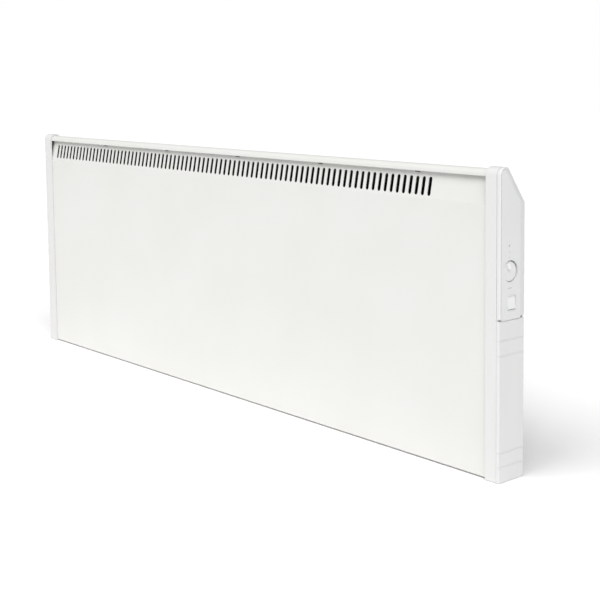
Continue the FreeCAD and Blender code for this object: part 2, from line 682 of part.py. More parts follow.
def rail_clips():
    """Small wedges between the rail's lip and the leaning strip of the front panel."""
    low, high = LIP_FOOT - CLIP_HANG, LIP_FOOT + SHEET
    lip_y = PANEL_FACE + LIP_RETURN
    corners = [(lip_y, low, 0), (lip_y, high, 0), (strip_face(high), high, 0), (strip_face(low), low, 0)]
    places = [LEFT + CLIP_FIRST + index * CLIP_SPACING for index in range(CLIP_COUNT)]
    return Part.makeCompound([prism(corners, x - CLIP_WIDTH / 2, x + CLIP_WIDTH / 2) for x in places])


# ---- end caps ---------------------------------------------------------------------------
def cap_frame(outer, inward):
    """Moulded end frame: flange and rim round the sheet metal, web and screw bosses."""
    mouth = outer + inward * (FLANGE_WIDTH - COVER_DEPTH)
    x0, x1 = sorted((outer, mouth))
    wall = PANEL_SETBACK - CAP_FIT
    inside = case_corners(wall, wall, wall, BACK_SETBACK - CAP_FIT, PANEL_CLEAR - CAP_FIT)
    hollow = prism(inside, *sorted((outer + inward * WEB, mouth + inward * CUT)))
    boss_x = sorted((outer, mouth - inward * PANEL_TUCK))
    bosses = [rod_x(*boss_x, y, z, BOSS_RADIUS) for y, z in BOSS_SPOTS]
    frame = fuse([prism(case_corners(), x0, x1).cut(hollow)] + bosses)
    return cut_all(frame, [rod_x(x0 - CUT, x1 + CUT, y, z, SCREW_RADIUS) for y, z in BOSS_SPOTS])


def groove(face, height):
    """Shallow groove across a side cover and round its front corner."""
    inward = -math.copysign(1.0, face)
    bottom_x, bottom_y = face + inward * GROOVE_DEPTH, FRONT + GROOVE_DEPTH
    z0, z1 = height - GROOVE_WIDTH / 2, height + GROOVE_WIDTH / 2
    band_x = sorted((face - inward * CUT, face + inward * (COVER_DEPTH + FAR)))
    band = box(*band_x, FRONT - CUT, CASE_BACK + CUT, z0, z1)
    core = box(*sorted((bottom_x, 0.0)), bottom_y, CASE_BACK + FAR, z0 - CUT, z1 + CUT)
    corner = [edge for edge in core.Edges
              if abs(edge.CenterOfMass.x - bottom_x) < TINY and abs(edge.CenterOfMass.y - bottom_y) < TINY]
    return band.cut(core.makeFillet(COVER_ROUND, corner))


def cover_shell(face, inner, foot, head, face_wall, seam, rear=CASE_BACK):
    """Moulded cover on the end of the case, open towards it at inner, with a step for the seam."""
    inward = math.copysign(1.0, inner - face)
    slab_x = sorted((face - inward * FAR, inner + inward * FAR))
    slab = box(*slab_x, FRONT - FAR, rear + FAR, foot, head)
    solid = prism(even_corners(0.0, rear), *sorted((face, inner - inward * seam))).common(slab)
    rim = [edge for edge in solid.Edges
           if abs(edge.BoundBox.XMin - face) < TINY and abs(edge.BoundBox.XMax - face) < TINY]
    step = prism(even_corners(seam, rear), *sorted((inner, inner - inward * seam))).common(slab)
    room = box(*slab_x, FRONT - FAR, rear + FAR, foot + COVER_WALL, head - COVER_WALL)
    hollow_x = sorted((face + inward * face_wall, inner + inward * CUT))
    hollow = prism(even_corners(COVER_WALL, rear), *hollow_x).common(room)
    return fuse([solid.makeFillet(COVER_ROUND, rim), step]).cut(hollow)


def side_cover(face, inner, head):
    cover = cover_shell(face, inner, 0.0, head, COVER_WALL, COVER_SEAM)
    return cut_all(cover, [groove(face, height) for height in ALL_GROOVES])


def bevel_wedge(start, end, width):
    """Wedge that lowers the housing face towards the straight edge from start to end, both (y, z)."""
    along = FreeCAD.Vector(0, end[0] - start[0], end[1] - start[1]).normalize()
    inside = FreeCAD.Vector(0, along.z, -along.y)
    origin = FreeCAD.Vector(HOUSING_FACE, *start) - along * BEVEL_OVERRUN
    section = [(0.0, width), (-BEVEL_FALL, 0.0), (-BEVEL_FALL, -FAR), (CUT, -FAR), (CUT, width), (0.0, width)]
    corners = [origin + FreeCAD.Vector(out, 0, 0) + inside * depth for out, depth in section]
    length = math.hypot(end[0] - start[0], end[1] - start[1]) + 2 * BEVEL_OVERRUN
    return Part.Face(Part.makePolygon(corners)).extrude(along * length)


def housing_bevels():
    """The two strips of the housing face that fall away to the back edge and to the slope."""
    corners = even_corners(0.0, HOUSING_BACK)
    top, foot = corners[2][:2], corners[3][:2]
    return [bevel_wedge(top, foot, SLOPE_BEVEL), bevel_wedge(foot, (HOUSING_BACK, HOUSING_BASE), BACK_BEVEL)]


def rim_line():
    """Fine groove just inside the front and top edges of the housing face."""
    x0, x1 = HOUSING_FACE - RIM_LINE_DEPTH, HOUSING_FACE + CUT
    ring = prism(even_corners(RIM_LINE_SETBACK, HOUSING_BACK), x0, x1)
    core = prism(even_corners(RIM_LINE_SETBACK + RIM_LINE_WIDTH, HOUSING_BACK), x0 - CUT, x1 + CUT)
    kept = box(x0, x1, FRONT, TOP_CORNER_Y, HOUSING_BASE + COVER_ROUND, CASE_HEIGHT)
    return ring.cut(core).common(kept)


def housing_recesses():
    """Small recesses at the foot of the housing, and the chamfer of its lower back corner."""
    x0, x1 = HOUSING_FACE - NOTCH_IN, HOUSING_FACE + CUT
    z0, z1 = HOUSING_BASE - CUT, HOUSING_BASE + NOTCH_RISE
    rear = HOUSING_BACK - REAR_NOTCH_INSET
    chamfer = [
        (HOUSING_BACK - REAR_CHAMFER_RUN, z0, 0),
        (HOUSING_BACK - REAR_CHAMFER_RUN, HOUSING_BASE, 0),
        (HOUSING_BACK, HOUSING_BASE + REAR_CHAMFER_RISE, 0),
        (HOUSING_BACK + CUT, HOUSING_BASE + REAR_CHAMFER_RISE, 0),
        (HOUSING_BACK + CUT, z0, 0),
    ]
    return [
        box(x0, x1, FRONT - CUT, FRONT + NOTCH_DEPTH, z0, z1),
        box(x0, x1, rear - REAR_NOTCH_LENGTH, rear, z0, z1),
        prism(chamfer, RIGHT_SEAM - CUT, x1),
    ]


def housing_marks():
    """Sunk marks on the housing face: a dot, a triangle that points at the dial, and a dash."""
    x0, x1 = HOUSING_FACE - MARK_DEPTH, HOUSING_FACE + CUT
    index, dash = CASE_HEIGHT - INDEX_DROP, CASE_HEIGHT - MARK_DROP
    triangle = [(LAMP_Y - INDEX_HALF, index + INDEX_HALF, 0), (LAMP_Y + INDEX_HALF, index + INDEX_HALF, 0),
                (LAMP_Y, index - INDEX_HALF, 0)]
    return [
        rod_x(x0, x1, LAMP_Y, CASE_HEIGHT - DOT_DROP, DOT_RADIUS),
        prism(triangle, x0, x1),
        box(x0, x1, MARK_Y - MARK_LENGTH / 2, MARK_Y + MARK_LENGTH / 2, dash - MARK_WIDTH / 2,
            dash + MARK_WIDTH / 2),
    ]


def control_housing():
    housing = cover_shell(HOUSING_FACE, RIGHT_SEAM, HOUSING_BASE, CASE_HEIGHT, HOUSING_FACE_WALL,
                          HOUSING_SEAM, HOUSING_BACK)
    dish_y, dish_height = DIAL_Y + DISH_OFFSET, DIAL_HEIGHT + DISH_OFFSET
    cup = rod_x(DISH_UNDER, HOUSING_FACE - HOUSING_FACE_WALL / 2, dish_y, dish_height,
                DISH_RADIUS + DISH_WALL)
    outside = HOUSING_FACE + CUT
    openings = [
        rod_x(DISH_FLOOR, outside, dish_y, dish_height, DISH_RADIUS),
        rod_x(DISH_UNDER - CUT, outside, DIAL_Y, DIAL_HEIGHT, HUB_RADIUS + HUB_FIT),
        rod_x(RIGHT_SEAM, outside, LAMP_Y, LAMP_HEIGHT, LENS_RADIUS),
        switch_block(RIGHT_SEAM, outside, BARREL_SHRINK),
        rim_line(),
    ]
    housing = cut_all(housing, housing_bevels()).fuse(cup).removeSplitter()
    return cut_all(housing, openings + housing_recesses() + housing_marks())


# ---- dial -------------------------------------------------------------------------------
def turned_to_rest(shape):
    shape.rotate(FreeCAD.Vector(DIAL_TOP, DIAL_Y, DIAL_HEIGHT), FreeCAD.Vector(1, 0, 0), DIAL_REST_TURN)
    return shape


def dial_ridge():
    """Finger ridge from near the dial's centre to its edge, its top edges rounded."""
    ridge = box(DIAL_FACE - CUT, DIAL_TOP, DIAL_Y - RIDGE_WIDTH / 2, DIAL_Y + RIDGE_WIDTH / 2,
                DIAL_HEIGHT + RIDGE_START, DIAL_HEIGHT + DIAL_RADIUS - RIDGE_RIM)
    top_edges = [edge for edge in ridge.Edges if edge.CenterOfMass.x > DIAL_TOP - TINY]
    return ridge.makeFillet(RIDGE_ROUND, top_edges)


def dial():
    under = DISH_FLOOR + DIAL_LIFT
    disc = rod_x(under, DIAL_FACE, DIAL_Y, DIAL_HEIGHT, DIAL_RADIUS)
    rim = [edge for edge in disc.Edges if edge.Closed and abs(edge.CenterOfMass.x - DIAL_FACE) < TINY]
    hub = rod_x(DISH_UNDER, under + CUT, DIAL_Y, DIAL_HEIGHT, HUB_RADIUS)
    bore = rod_x(DISH_UNDER - CUT, DIAL_FACE - DIAL_WALL, DIAL_Y, DIAL_HEIGHT, SHAFT_RADIUS)
    body = fuse([disc.makeChamfer(DIAL_CHAMFER, rim), dial_ridge(), hub]).cut(bore)
    return turned_to_rest(body).cut(dial_marker())


def dial_marker():
    """Pale bar set into the flat top of the ridge."""
    foot = DIAL_HEIGHT + RIDGE_START + MARKER_MARGIN
    head = DIAL_HEIGHT + DIAL_RADIUS - RIDGE_RIM - MARKER_MARGIN
    return turned_to_rest(box(DIAL_TOP - MARKER_DEPTH, DIAL_TOP, DIAL_Y - MARKER_WIDTH / 2,
                              DIAL_Y + MARKER_WIDTH / 2, foot, head))


def dial_shaft():
    start = BOARD_FACE + POT_FLOOR + SHAFT_END_GAP
    return rod_x(start, DIAL_FACE - DIAL_WALL, DIAL_Y, DIAL_HEIGHT, SHAFT_RADIUS)


def potentiometer():
    seat = BOARD_FACE + POT_DEEP
    case = box(BOARD_FACE, seat, DIAL_Y - POT_HALF, DIAL_Y + POT_HALF, DIAL_HEIGHT - POT_HALF,
               DIAL_HEIGHT + POT_HALF)
    bush = rod_x(seat, DISH_UNDER - POT_GAP, DIAL_Y, DIAL_HEIGHT, SHAFT_RADIUS + POT_BUSH_WALL)
    bore = rod_x(BOARD_FACE + POT_FLOOR, HOUSING_FACE, DIAL_Y, DIAL_HEIGHT, SHAFT_RADIUS + SHAFT_FIT)
    return case.fuse(bush).cut(bore).removeSplitter()


# ---- switch -----------------------------------------------------------------------------
def switch_block(x0, x1, shrink):
    """Upright block of the switch's outline, drawn in all round."""
    half_y, half_z = SWITCH_WIDTH / 2 - shrink, SWITCH_TALL / 2 - shrink
    radius = max(SWITCH_ROUND - shrink, SMALLEST_ROUND)
    corners = [(SWITCH_Y + a * half_y, SWITCH_HEIGHT + b * half_z, radius)
               for a, b in ((-1, -1), (-1, 1), (1, 1), (1, -1))]
    return prism(corners, x0, x1)


def switch_body():
    bezel = switch_block(HOUSING_FACE, HOUSING_FACE + BEZEL_PROUD, 0.0)
    barrel = switch_block(HOUSING_FACE - SWITCH_DEEP, HOUSING_FACE, BARREL_SHRINK)
    well = switch_block(HOUSING_FACE - WELL_DEPTH, HOUSING_FACE + CUT, SWITCH_FRAME)
    reach = SWITCH_WIDTH / 2 - SWITCH_FRAME + PIN_REACH + PIN_END_GAP
    holes = rod_y(SWITCH_Y - reach, SWITCH_Y + reach, PIVOT_X, SWITCH_HEIGHT, PIVOT_PIN + PIVOT_FIT)
    return cut_all(bezel.fuse(barrel), [well, holes]).removeSplitter()


def rocker_profile(y):
    """Face of the key seen from its side: hollow front, ends curved about the pivot."""
    reach = SWITCH_TALL / 2 - SWITCH_FRAME - ROCKER_FIT
    tip = math.sqrt(reach ** 2 - ROCKER_TIP ** 2)
    heel = math.sqrt(reach ** 2 - ROCKER_FOOT ** 2)

    def at(out, up):
        return FreeCAD.Vector(PIVOT_X + out, y, SWITCH_HEIGHT + up)

    return Part.Face(Part.Wire([
        Part.Arc(at(ROCKER_TIP, -tip), at(ROCKER_TIP - ROCKER_HOLLOW, 0), at(ROCKER_TIP, tip)).toShape(),
        Part.Arc(at(ROCKER_TIP, tip), at(0, reach), at(-ROCKER_FOOT, heel)).toShape(),
        Part.LineSegment(at(-ROCKER_FOOT, heel), at(-ROCKER_FOOT, -heel)).toShape(),
        Part.Arc(at(-ROCKER_FOOT, -heel), at(0, -reach), at(ROCKER_TIP, -tip)).toShape(),
    ]))


def rocker():
    """Key with a shallow hollow face, tipped to its off side, on two side pins."""
    half_y = SWITCH_WIDTH / 2 - SWITCH_FRAME - ROCKER_FIT
    pin_reach = half_y + ROCKER_FIT + PIN_REACH
    key = rocker_profile(SWITCH_Y - half_y).extrude(FreeCAD.Vector(0, 2 * half_y, 0))
    pins = rod_y(SWITCH_Y - pin_reach, SWITCH_Y + pin_reach, PIVOT_X, SWITCH_HEIGHT, PIVOT_PIN)
    key = key.fuse(pins).removeSplitter()
    key.rotate(FreeCAD.Vector(PIVOT_X, SWITCH_Y, SWITCH_HEIGHT), FreeCAD.Vector(0, 1, 0), -ROCKER_TILT)
    return key


def switch_terminals():
    root = HOUSING_FACE - SWITCH_DEEP
    heights = [SWITCH_HEIGHT + step * BLADE_STEP for step in (-1, 0, 1)]
    return Part.makeCompound([box(root - BLADE_LENGTH, root, SWITCH_Y - BLADE_WIDTH / 2,
                                  SWITCH_Y + BLADE_WIDTH / 2, height - BLADE / 2, height + BLADE / 2)
                              for height in heights])


# ---- board ------------------------------------------------------------------------------
def board_spots():
    front, back = PANEL_INSIDE + BOARD_FRONT_GAP, BACK_INSIDE - BOARD_BACK_GAP
    high = BOARD_TOP - POST_MARGIN
    return [(back, BOARD_FOOT + POST_MARGIN), (back, high), (front, high)]


def control_board():
    board = box(BOARD_REAR, BOARD_FACE, PANEL_INSIDE + BOARD_FRONT_GAP - BOARD_MARGIN,
                BACK_INSIDE - BOARD_BACK_GAP + BOARD_MARGIN, BOARD_FOOT, BOARD_TOP)
    return cut_all(board, [rod_x(BOARD_REAR - CUT, BOARD_FACE + CUT, y, z, SCREW_RADIUS)
                           for y, z in board_spots()])


def board_posts():
    seat = HOUSING_FACE - HOUSING_FACE_WALL
    posts = []
    for y, z in board_spots():
        bore = rod_x(BOARD_FACE - CUT, BOARD_FACE + POST_BORE_DEPTH, y, z, SCREW_RADIUS)
        posts.append(rod_x(BOARD_FACE, seat, y, z, POST_RADIUS).cut(bore))
    return Part.makeCompound(posts)


def board_screws():
    return Part.makeCompound([screw(FreeCAD.Vector(BOARD_REAR, y, z), FreeCAD.Vector(1, 0, 0), BOARD_SCREW)
                              for y, z in board_spots()])


def relay():
    front, top = DIAL_Y - RELAY_FRONT, BOARD_TOP - RELAY_DROP
    return box(BOARD_FACE, BOARD_FACE + RELAY_DEEP, front, front + RELAY_WIDTH, top - RELAY_TALL, top)


def board_block():
    """Screw terminals along the foot of the board."""
    x0, front = BOARD_REAR - BOARD_BLOCK_DEEP, DIAL_Y - BOARD_BLOCK_FRONT
    block = box(x0, BOARD_REAR, front, front + BOARD_BLOCK_WIDTH, BOARD_BLOCK_FOOT,
                BOARD_BLOCK_FOOT + BOARD_BLOCK_TALL)
    return cut_all(block, [rod_z(BOARD_BLOCK_FOOT - CUT, BOARD_BLOCK_FOOT + BOARD_MOUTH_DEEP,
                                 BOARD_MOUTH_X, DIAL_Y + y, BOARD_MOUTH_RADIUS) for y in BOARD_MOUTHS])


def lamp():
    return rod_x(BOARD_FACE, BOARD_FACE + LAMP_LENGTH, LAMP_Y, LAMP_HEIGHT, LAMP_RADIUS)


def indicator_lens():
    start = BOARD_FACE + LAMP_LENGTH + LAMP_GAP
    tube = rod_x(start, HOUSING_FACE + LENS_PROUD, LAMP_Y, LAMP_HEIGHT, LENS_RADIUS)
    seat = HOUSING_FACE - HOUSING_FACE_WALL
    collar = rod_x(seat - LENS_COLLAR, seat, LAMP_Y, LAMP_HEIGHT, LENS_RADIUS + LENS_COLLAR)
    return tube.fuse(collar).removeSplitter()


# ---- heating chamber --------------------------------------------------------------------
def shield_lean():
    """Foot and top (y, z) of the inner face of the shield's strip that follows the back slope."""
    depth = PANEL_SETBACK + SHEET + SHIELD_SLOPE_GAP + SHIELD
    run = (CASE_BACK - TOP_CORNER_Y) / SLOPE_DROP
    start_y = TOP_CORNER_Y - depth * math.hypot(run, 1.0)
    return ((SHIELD_FACE, CASE_HEIGHT - (SHIELD_FACE - start_y) / run),
            (start_y + SHIELD_TOP_DROP * run, CASE_HEIGHT - SHIELD_TOP_DROP))


def heat_shield():
    """Tray that stands off the back panel on its foot and ends and leans forward at the top."""
    bend, top = shield_lean()
    x0, x1 = SHEET_LEFT + SHIELD_LEFT_GAP, BULKHEAD - SHIELD_RIGHT_GAP
    line = [top, bend, (SHIELD_FACE, SHIELD_FOOT), (BACK_INSIDE, SHIELD_FOOT)]
    ends = [box(*end, SHIELD_FACE + SHIELD / 2, BACK_INSIDE, SHIELD_FOOT + SHIELD, bend[1] - SHIELD_END_DROP)
            for end in ((x0, x0 + SHIELD), (x1 - SHIELD, x1))]
    shield = fuse([bent_sheet(line, [FOLD, FOLD], SHIELD, x0, x1)] + ends)
    return cut_all(shield, [rod_y(SHIELD_FACE - CUT, SHIELD_FACE + SHIELD + CUT, x, z, SCREW_RADIUS)
                            for x, z in bracket_screw_spots()])


def element_fins():
    core = rod_x(FINS_LEFT, FINS_RIGHT, ELEMENT_DEPTH, ELEMENT_HEIGHT, CORE_RADIUS)
    centre = FreeCAD.Vector(FINS_LEFT, ELEMENT_DEPTH, ELEMENT_HEIGHT)
    fins = []
    for angle in (FIN_ANGLE, 180 - FIN_ANGLE, 180 + FIN_ANGLE, -FIN_ANGLE):
        fin = box(FINS_LEFT, FINS_RIGHT, ELEMENT_DEPTH + CORE_RADIUS - FIN_ROOT, ELEMENT_DEPTH + FIN_REACH,
                  ELEMENT_HEIGHT - FIN / 2, ELEMENT_HEIGHT + FIN / 2)
        fin.rotate(centre, FreeCAD.Vector(1, 0, 0), angle)
        fins.append(fin)
    bore = rod_x(FINS_LEFT - CUT, FINS_RIGHT + CUT, ELEMENT_DEPTH, ELEMENT_HEIGHT, ROD_RADIUS + ROD_FIT)
    return fuse([core] + fins).cut(bore)


def heating_rod():
    return rod_x(ROD_LEFT, ROD_RIGHT, ELEMENT_DEPTH, ELEMENT_HEIGHT, ROD_RADIUS)


def element_terminals():
    return Part.makeCompound([rod_x(x0, x0 + TERMINAL_PIN_LENGTH, ELEMENT_DEPTH, ELEMENT_HEIGHT, TERMINAL_PIN)
                              for x0 in (ROD_LEFT - TERMINAL_PIN_LENGTH, ROD_RIGHT)])


def bracket_places():
    """Inner face and outward direction of the two element brackets."""
    return [(FINS_LEFT - BRACKET_GAP, -1), (FINS_RIGHT + BRACKET_GAP, 1)]


def bracket_screw_spots():
    return [(x + side * (BRACKET - BRACKET_SCREW_IN), ELEMENT_HEIGHT + level * BRACKET_SCREW_SIDE)
            for x, side in bracket_places() for level in (-1, 1)]


def element_bracket(x, side):
    """Upright plate across the element with two feet on the shield."""
    x0, x1 = sorted((x, x + side * BRACKET))
    low, high = ELEMENT_HEIGHT - BRACKET_HALF, ELEMENT_HEIGHT + BRACKET_HALF
    plate = box(x0, x1, PANEL_INSIDE + BRACKET_FRONT_GAP, SHIELD_FACE, low, high)
    foot_x = sorted((x + side * BRACKET, x + side * (BRACKET - BRACKET_FOOT)))
    feet = [box(*foot_x, SHIELD_FACE - BRACKET, SHIELD_FACE, z0, z0 + BRACKET_FOOT)
            for z0 in (low, high - BRACKET_FOOT)]
    holes = [rod_y(SHIELD_FACE - BRACKET - CUT, SHIELD_FACE + CUT, sx, sz, SCREW_RADIUS)
             for sx, sz in bracket_screw_spots()]
    holes.append(rod_x(x0 - CUT, x1 + CUT, ELEMENT_DEPTH, ELEMENT_HEIGHT, BUSH_RADIUS))
    return cut_all(fuse([plate] + feet), holes)


def element_brackets():
    return Part.makeCompound([element_bracket(x, side) for x, side in bracket_places()])


def element_bushes():
    bushes = []
    for x, side in bracket_places():
        x0 = x + side * BRACKET / 2 - BUSH_LENGTH / 2
        body = rod_x(x0, x0 + BUSH_LENGTH, ELEMENT_DEPTH, ELEMENT_HEIGHT, BUSH_RADIUS)
        bore = rod_x(x0 - CUT, x0 + BUSH_LENGTH + CUT, ELEMENT_DEPTH, ELEMENT_HEIGHT, ROD_RADIUS + ROD_FIT)
        bushes.append(body.cut(bore))
    return Part.makeCompound(bushes)


def bracket_screws():
    seat = SHIELD_FACE - BRACKET
    return Part.makeCompound([screw(FreeCAD.Vector(x, seat, z), FreeCAD.Vector(0, 1, 0), BRACKET_SCREW)
                              for x, z in bracket_screw_spots()])


def thermal_cutout():
    can_y = SHIELD_FACE - CUTOUT_CAN
    base_y = can_y - CUTOUT_BASE
    can = rod_y(can_y, SHIELD_FACE, CUTOUT_X, CUTOUT_HEIGHT, CUTOUT_RADIUS)
    base = rod_y(base_y, can_y, CUTOUT_X, CUTOUT_HEIGHT, CUTOUT_BASE_RADIUS)
    blades = [box(x - BLADE / 2, x + BLADE / 2, base_y - CUTOUT_BLADE, base_y,
                  CUTOUT_HEIGHT - CUTOUT_BLADE_HALF, CUTOUT_HEIGHT + CUTOUT_BLADE_HALF)
              for x in (CUTOUT_X - CUTOUT_BLADE_SIDE, CUTOUT_X + CUTOUT_BLADE_SIDE)]
    return fuse([can, base] + blades)


def cutout_clip():
    plate = box(CUTOUT_X - CLIP_PLATE_HALF, CUTOUT_X + CLIP_PLATE_HALF, SHIELD_FACE - CLIP_PLATE, SHIELD_FACE,
                CUTOUT_HEIGHT - CLIP_PLATE_TALL, CUTOUT_HEIGHT + CLIP_PLATE_TALL)
    return plate.cut(rod_y(SHIELD_FACE - CLIP_PLATE - CUT, SHIELD_FACE + CUT, CUTOUT_X, CUTOUT_HEIGHT,
                           CUTOUT_RADIUS))


# ---- wiring space -----------------------------------------------------------------------
def grommet():
    x0, x1 = BULKHEAD - GROMMET_LIP, BULKHEAD + SHEET + GROMMET_LIP
    body = rod_x(x0, x1, MIDDLE_Y, GROMMET_HEIGHT, GROMMET_RADIUS + GROMMET_LIP)
    groove_ring = rod_x(BULKHEAD, BULKHEAD + SHEET, MIDDLE_Y, GROMMET_HEIGHT, GROMMET_RADIUS + FAR)
    waist = rod_x(BULKHEAD, BULKHEAD + SHEET, MIDDLE_Y, GROMMET_HEIGHT, GROMMET_RADIUS)
    bore = rod_x(x0 - CUT, x1 + CUT, MIDDLE_Y, GROMMET_HEIGHT, GROMMET_RADIUS - GROMMET_WALL)
    return cut_all(body, [groove_ring.cut(waist), bore])


def terminal_block():
    width = 2 * BLOCK_EDGE + (BLOCK_WAYS - 1) * BLOCK_PITCH
    front, top = BACK_INSIDE - BLOCK_DEEP, BLOCK_HEIGHT + BLOCK_TALL
    block = box(BLOCK_X, BLOCK_X + width, front, BACK_INSIDE, BLOCK_HEIGHT, top)
    mouths = [rod_z(BLOCK_HEIGHT - CUT, top + CUT, x, BLOCK_MOUTH_Y, BLOCK_MOUTH_RADIUS)
              for x in BLOCK_PLACES]
    wells = [rod_y(front - CUT, BLOCK_MOUTH_Y, x, BLOCK_GRIP, BLOCK_WELL_RADIUS) for x in BLOCK_PLACES]
    return cut_all(block, mouths + wells)


def block_screws():
    """Grub screws that clamp the wires, each with a slot across its head."""
    head_y = BACK_INSIDE - BLOCK_DEEP + BLOCK_SCREW_SINK
    screws = []
    for x in BLOCK_PLACES:
        body = rod_y(head_y, BLOCK_MOUTH_Y - WIRE_RADIUS, x, BLOCK_GRIP, BLOCK_WELL_RADIUS - BLOCK_SCREW_FIT)
        slot = box(x - BLOCK_PITCH / 2, x + BLOCK_PITCH / 2, head_y - CUT, head_y + BLOCK_SCREW_SINK,
                   BLOCK_GRIP - BLOCK_SLOT / 2, BLOCK_GRIP + BLOCK_SLOT / 2)
        screws.append(body.cut(slot))
    return Part.makeCompound(screws)


def cable_gland():
    """Cable inlet: its flange bears on the outside of the back panel."""
    y1 = BACK_OUTSIDE + GLAND_FLANGE_DEPTH
    y0 = y1 - GLAND_LENGTH
    flange = rod_y(BACK_OUTSIDE, y1, GLAND_X, GLAND_HEIGHT, GLAND_FLANGE)
    body = rod_y(y0, BACK_OUTSIDE, GLAND_X, GLAND_HEIGHT, GLAND_BODY)
    bore = rod_y(y0 - CUT, y1 + CUT, GLAND_X, GLAND_HEIGHT, GLAND_BORE)
    return flange.fuse(body).cut(bore).removeSplitter()


def hexagon_y(x, z, across_flats, y0, y1):
    radius = across_flats / math.sqrt(3)
    turns = [math.radians(60 * corner) for corner in range(7)]
    points = [FreeCAD.Vector(x + radius * math.cos(turn), y0, z + radius * math.sin(turn)) for turn in turns]
    return Part.Face(Part.makePolygon(points)).extrude(FreeCAD.Vector(0, y1 - y0, 0))


def gland_nut():
    y0 = BACK_INSIDE - NUT_DEPTH
    nut = hexagon_y(GLAND_X, GLAND_HEIGHT, 2 * GLAND_BODY + NUT_RIM, y0, BACK_INSIDE)
    return nut.cut(rod_y(y0 - CUT, BACK_INSIDE + CUT, GLAND_X, GLAND_HEIGHT, GLAND_BODY))


def earth_stud():
    return rod_y(BACK_INSIDE - EARTH_STUD_LENGTH, BACK_INSIDE, EARTH_X, EARTH_HEIGHT, EARTH_STUD)


def earth_nuts():
    bore = rod_y(BACK_INSIDE - EARTH_STUD_LENGTH, BACK_INSIDE + CUT, EARTH_X, EARTH_HEIGHT, EARTH_STUD)
    nuts = [hexagon_y(EARTH_X, EARTH_HEIGHT, EARTH_NUT_FLATS, seat - EARTH_NUT, seat)
            for seat in (BACK_INSIDE, BACK_INSIDE - EARTH_NUT - EARTH_TAG)]
    return Part.makeCompound([nut.cut(bore) for nut in nuts])


def earth_tag():
    """Ring tag clamped between the two nuts, with its crimped barrel."""
    y1 = BACK_INSIDE - EARTH_NUT
    y0 = y1 - EARTH_TAG
    ring = rod_y(y0, y1, EARTH_X, EARTH_HEIGHT, EARTH_TAG_RADIUS)
    neck = box(EARTH_X, EARTH_X + EARTH_NECK, y0, y1, EARTH_HEIGHT - EARTH_NECK_HALF,
               EARTH_HEIGHT + EARTH_NECK_HALF)
    tip = EARTH_X + EARTH_TAG_REACH
    barrel = rod_x(tip - EARTH_BARREL_LENGTH, tip, (y0 + y1) / 2, EARTH_HEIGHT, EARTH_BARREL)
    return fuse([ring, neck, barrel]).cut(rod_y(y0 - CUT, y1 + CUT, EARTH_X, EARTH_HEIGHT, EARTH_STUD))


def sensor_holder():
    top = SENSOR_FOOT + HOLDER_TALL
    holder = box(SENSOR_X - HOLDER_HALF_X, SENSOR_X + HOLDER_HALF_X, MIDDLE_Y - HOLDER_HALF_Y,
                 MIDDLE_Y + HOLDER_HALF_Y, SENSOR_FOOT, top)
    return holder.cut(rod_z(SENSOR_FOOT - CUT, top + CUT, SENSOR_X, MIDDLE_Y, SENSOR_RADIUS))


def room_sensor():
    return rod_z(SENSOR_FOOT + SENSOR_LIFT, SENSOR_HEAD, SENSOR_X, MIDDLE_Y, SENSOR_RADIUS)


def rear_inserts():
    """Threaded rivet nuts in the back panel that the wall bracket is screwed to."""
    y1 = BACK_OUTSIDE + INSERT_FLANGE_DEPTH
    y0 = y1 - INSERT_LENGTH
    inserts = []
    for x, z in insert_places():
        flange = rod_y(BACK_OUTSIDE, y1, x, z, INSERT_FLANGE)
        shank = rod_y(y0, BACK_OUTSIDE, x, z, INSERT_SHANK)
        inserts.append(flange.fuse(shank).cut(rod_y(y0 - CUT, y1 + CUT, x, z, INSERT_BORE)).removeSplitter())
    return Part.makeCompound(inserts)


def rail_screws():
    z = rail_screw_height()
    return Part.makeCompound([screw(FreeCAD.Vector(x, RAIL_BACK, z), FreeCAD.Vector(0, -1, 0), RAIL_SCREW)
                              for x in rail_screw_places()])


def case_screws():
    """Screws from inside the end plates into the bosses of the caps."""
    return Part.makeCompound([
        screw(FreeCAD.Vector(outer + inward * SHEET, y, z), FreeCAD.Vector(-inward, 0, 0), CASE_SCREW)
        for outer, inward in ((SHEET_LEFT, 1), (SHEET_RIGHT, -1)) for y, z in BOSS_SPOTS])


# ---- wires ------------------------------------------------------------------------------
def halfway(a, b):
    return (a + b) / 2


def to_board(y):
    """Last points of a wire that comes up behind the switch into a mouth of the board's block."""
    return [
        (BOARD_MOUTH_X - BOARD_LEAD, y, BOARD_BLOCK_FOOT - BOARD_LEAD),
        (BOARD_MOUTH_X, y, BOARD_BLOCK_FOOT - BLADE_LEAD),
        (BOARD_MOUTH_X, y, BOARD_BLOCK_FOOT + WIRE_GRIP),
    ]


def live_wire():
    blade = SWITCH_HEIGHT - BLADE_STEP
    return wire([
        (BLOCK_PLACES[2], BLOCK_MOUTH_Y, BLOCK_GRIP),
        (BLOCK_PLACES[2], BLOCK_MOUTH_Y, BLOCK_HEIGHT + BLOCK_TALL + RISER),
        (BLOCK_PLACES[2] + BLADE_LEAD, BLOCK_MOUTH_Y - WIRE_SWAY, halfway(BLOCK_GRIP + RISER, SWITCH_HEIGHT)),
        (BLADE_END - BOARD_LEAD - BLADE_LEAD, SWITCH_Y, blade - BLADE_LEAD),
        (BLADE_END - BOARD_LEAD, SWITCH_Y, blade),
        (BLADE_END, SWITCH_Y, blade),
    ])


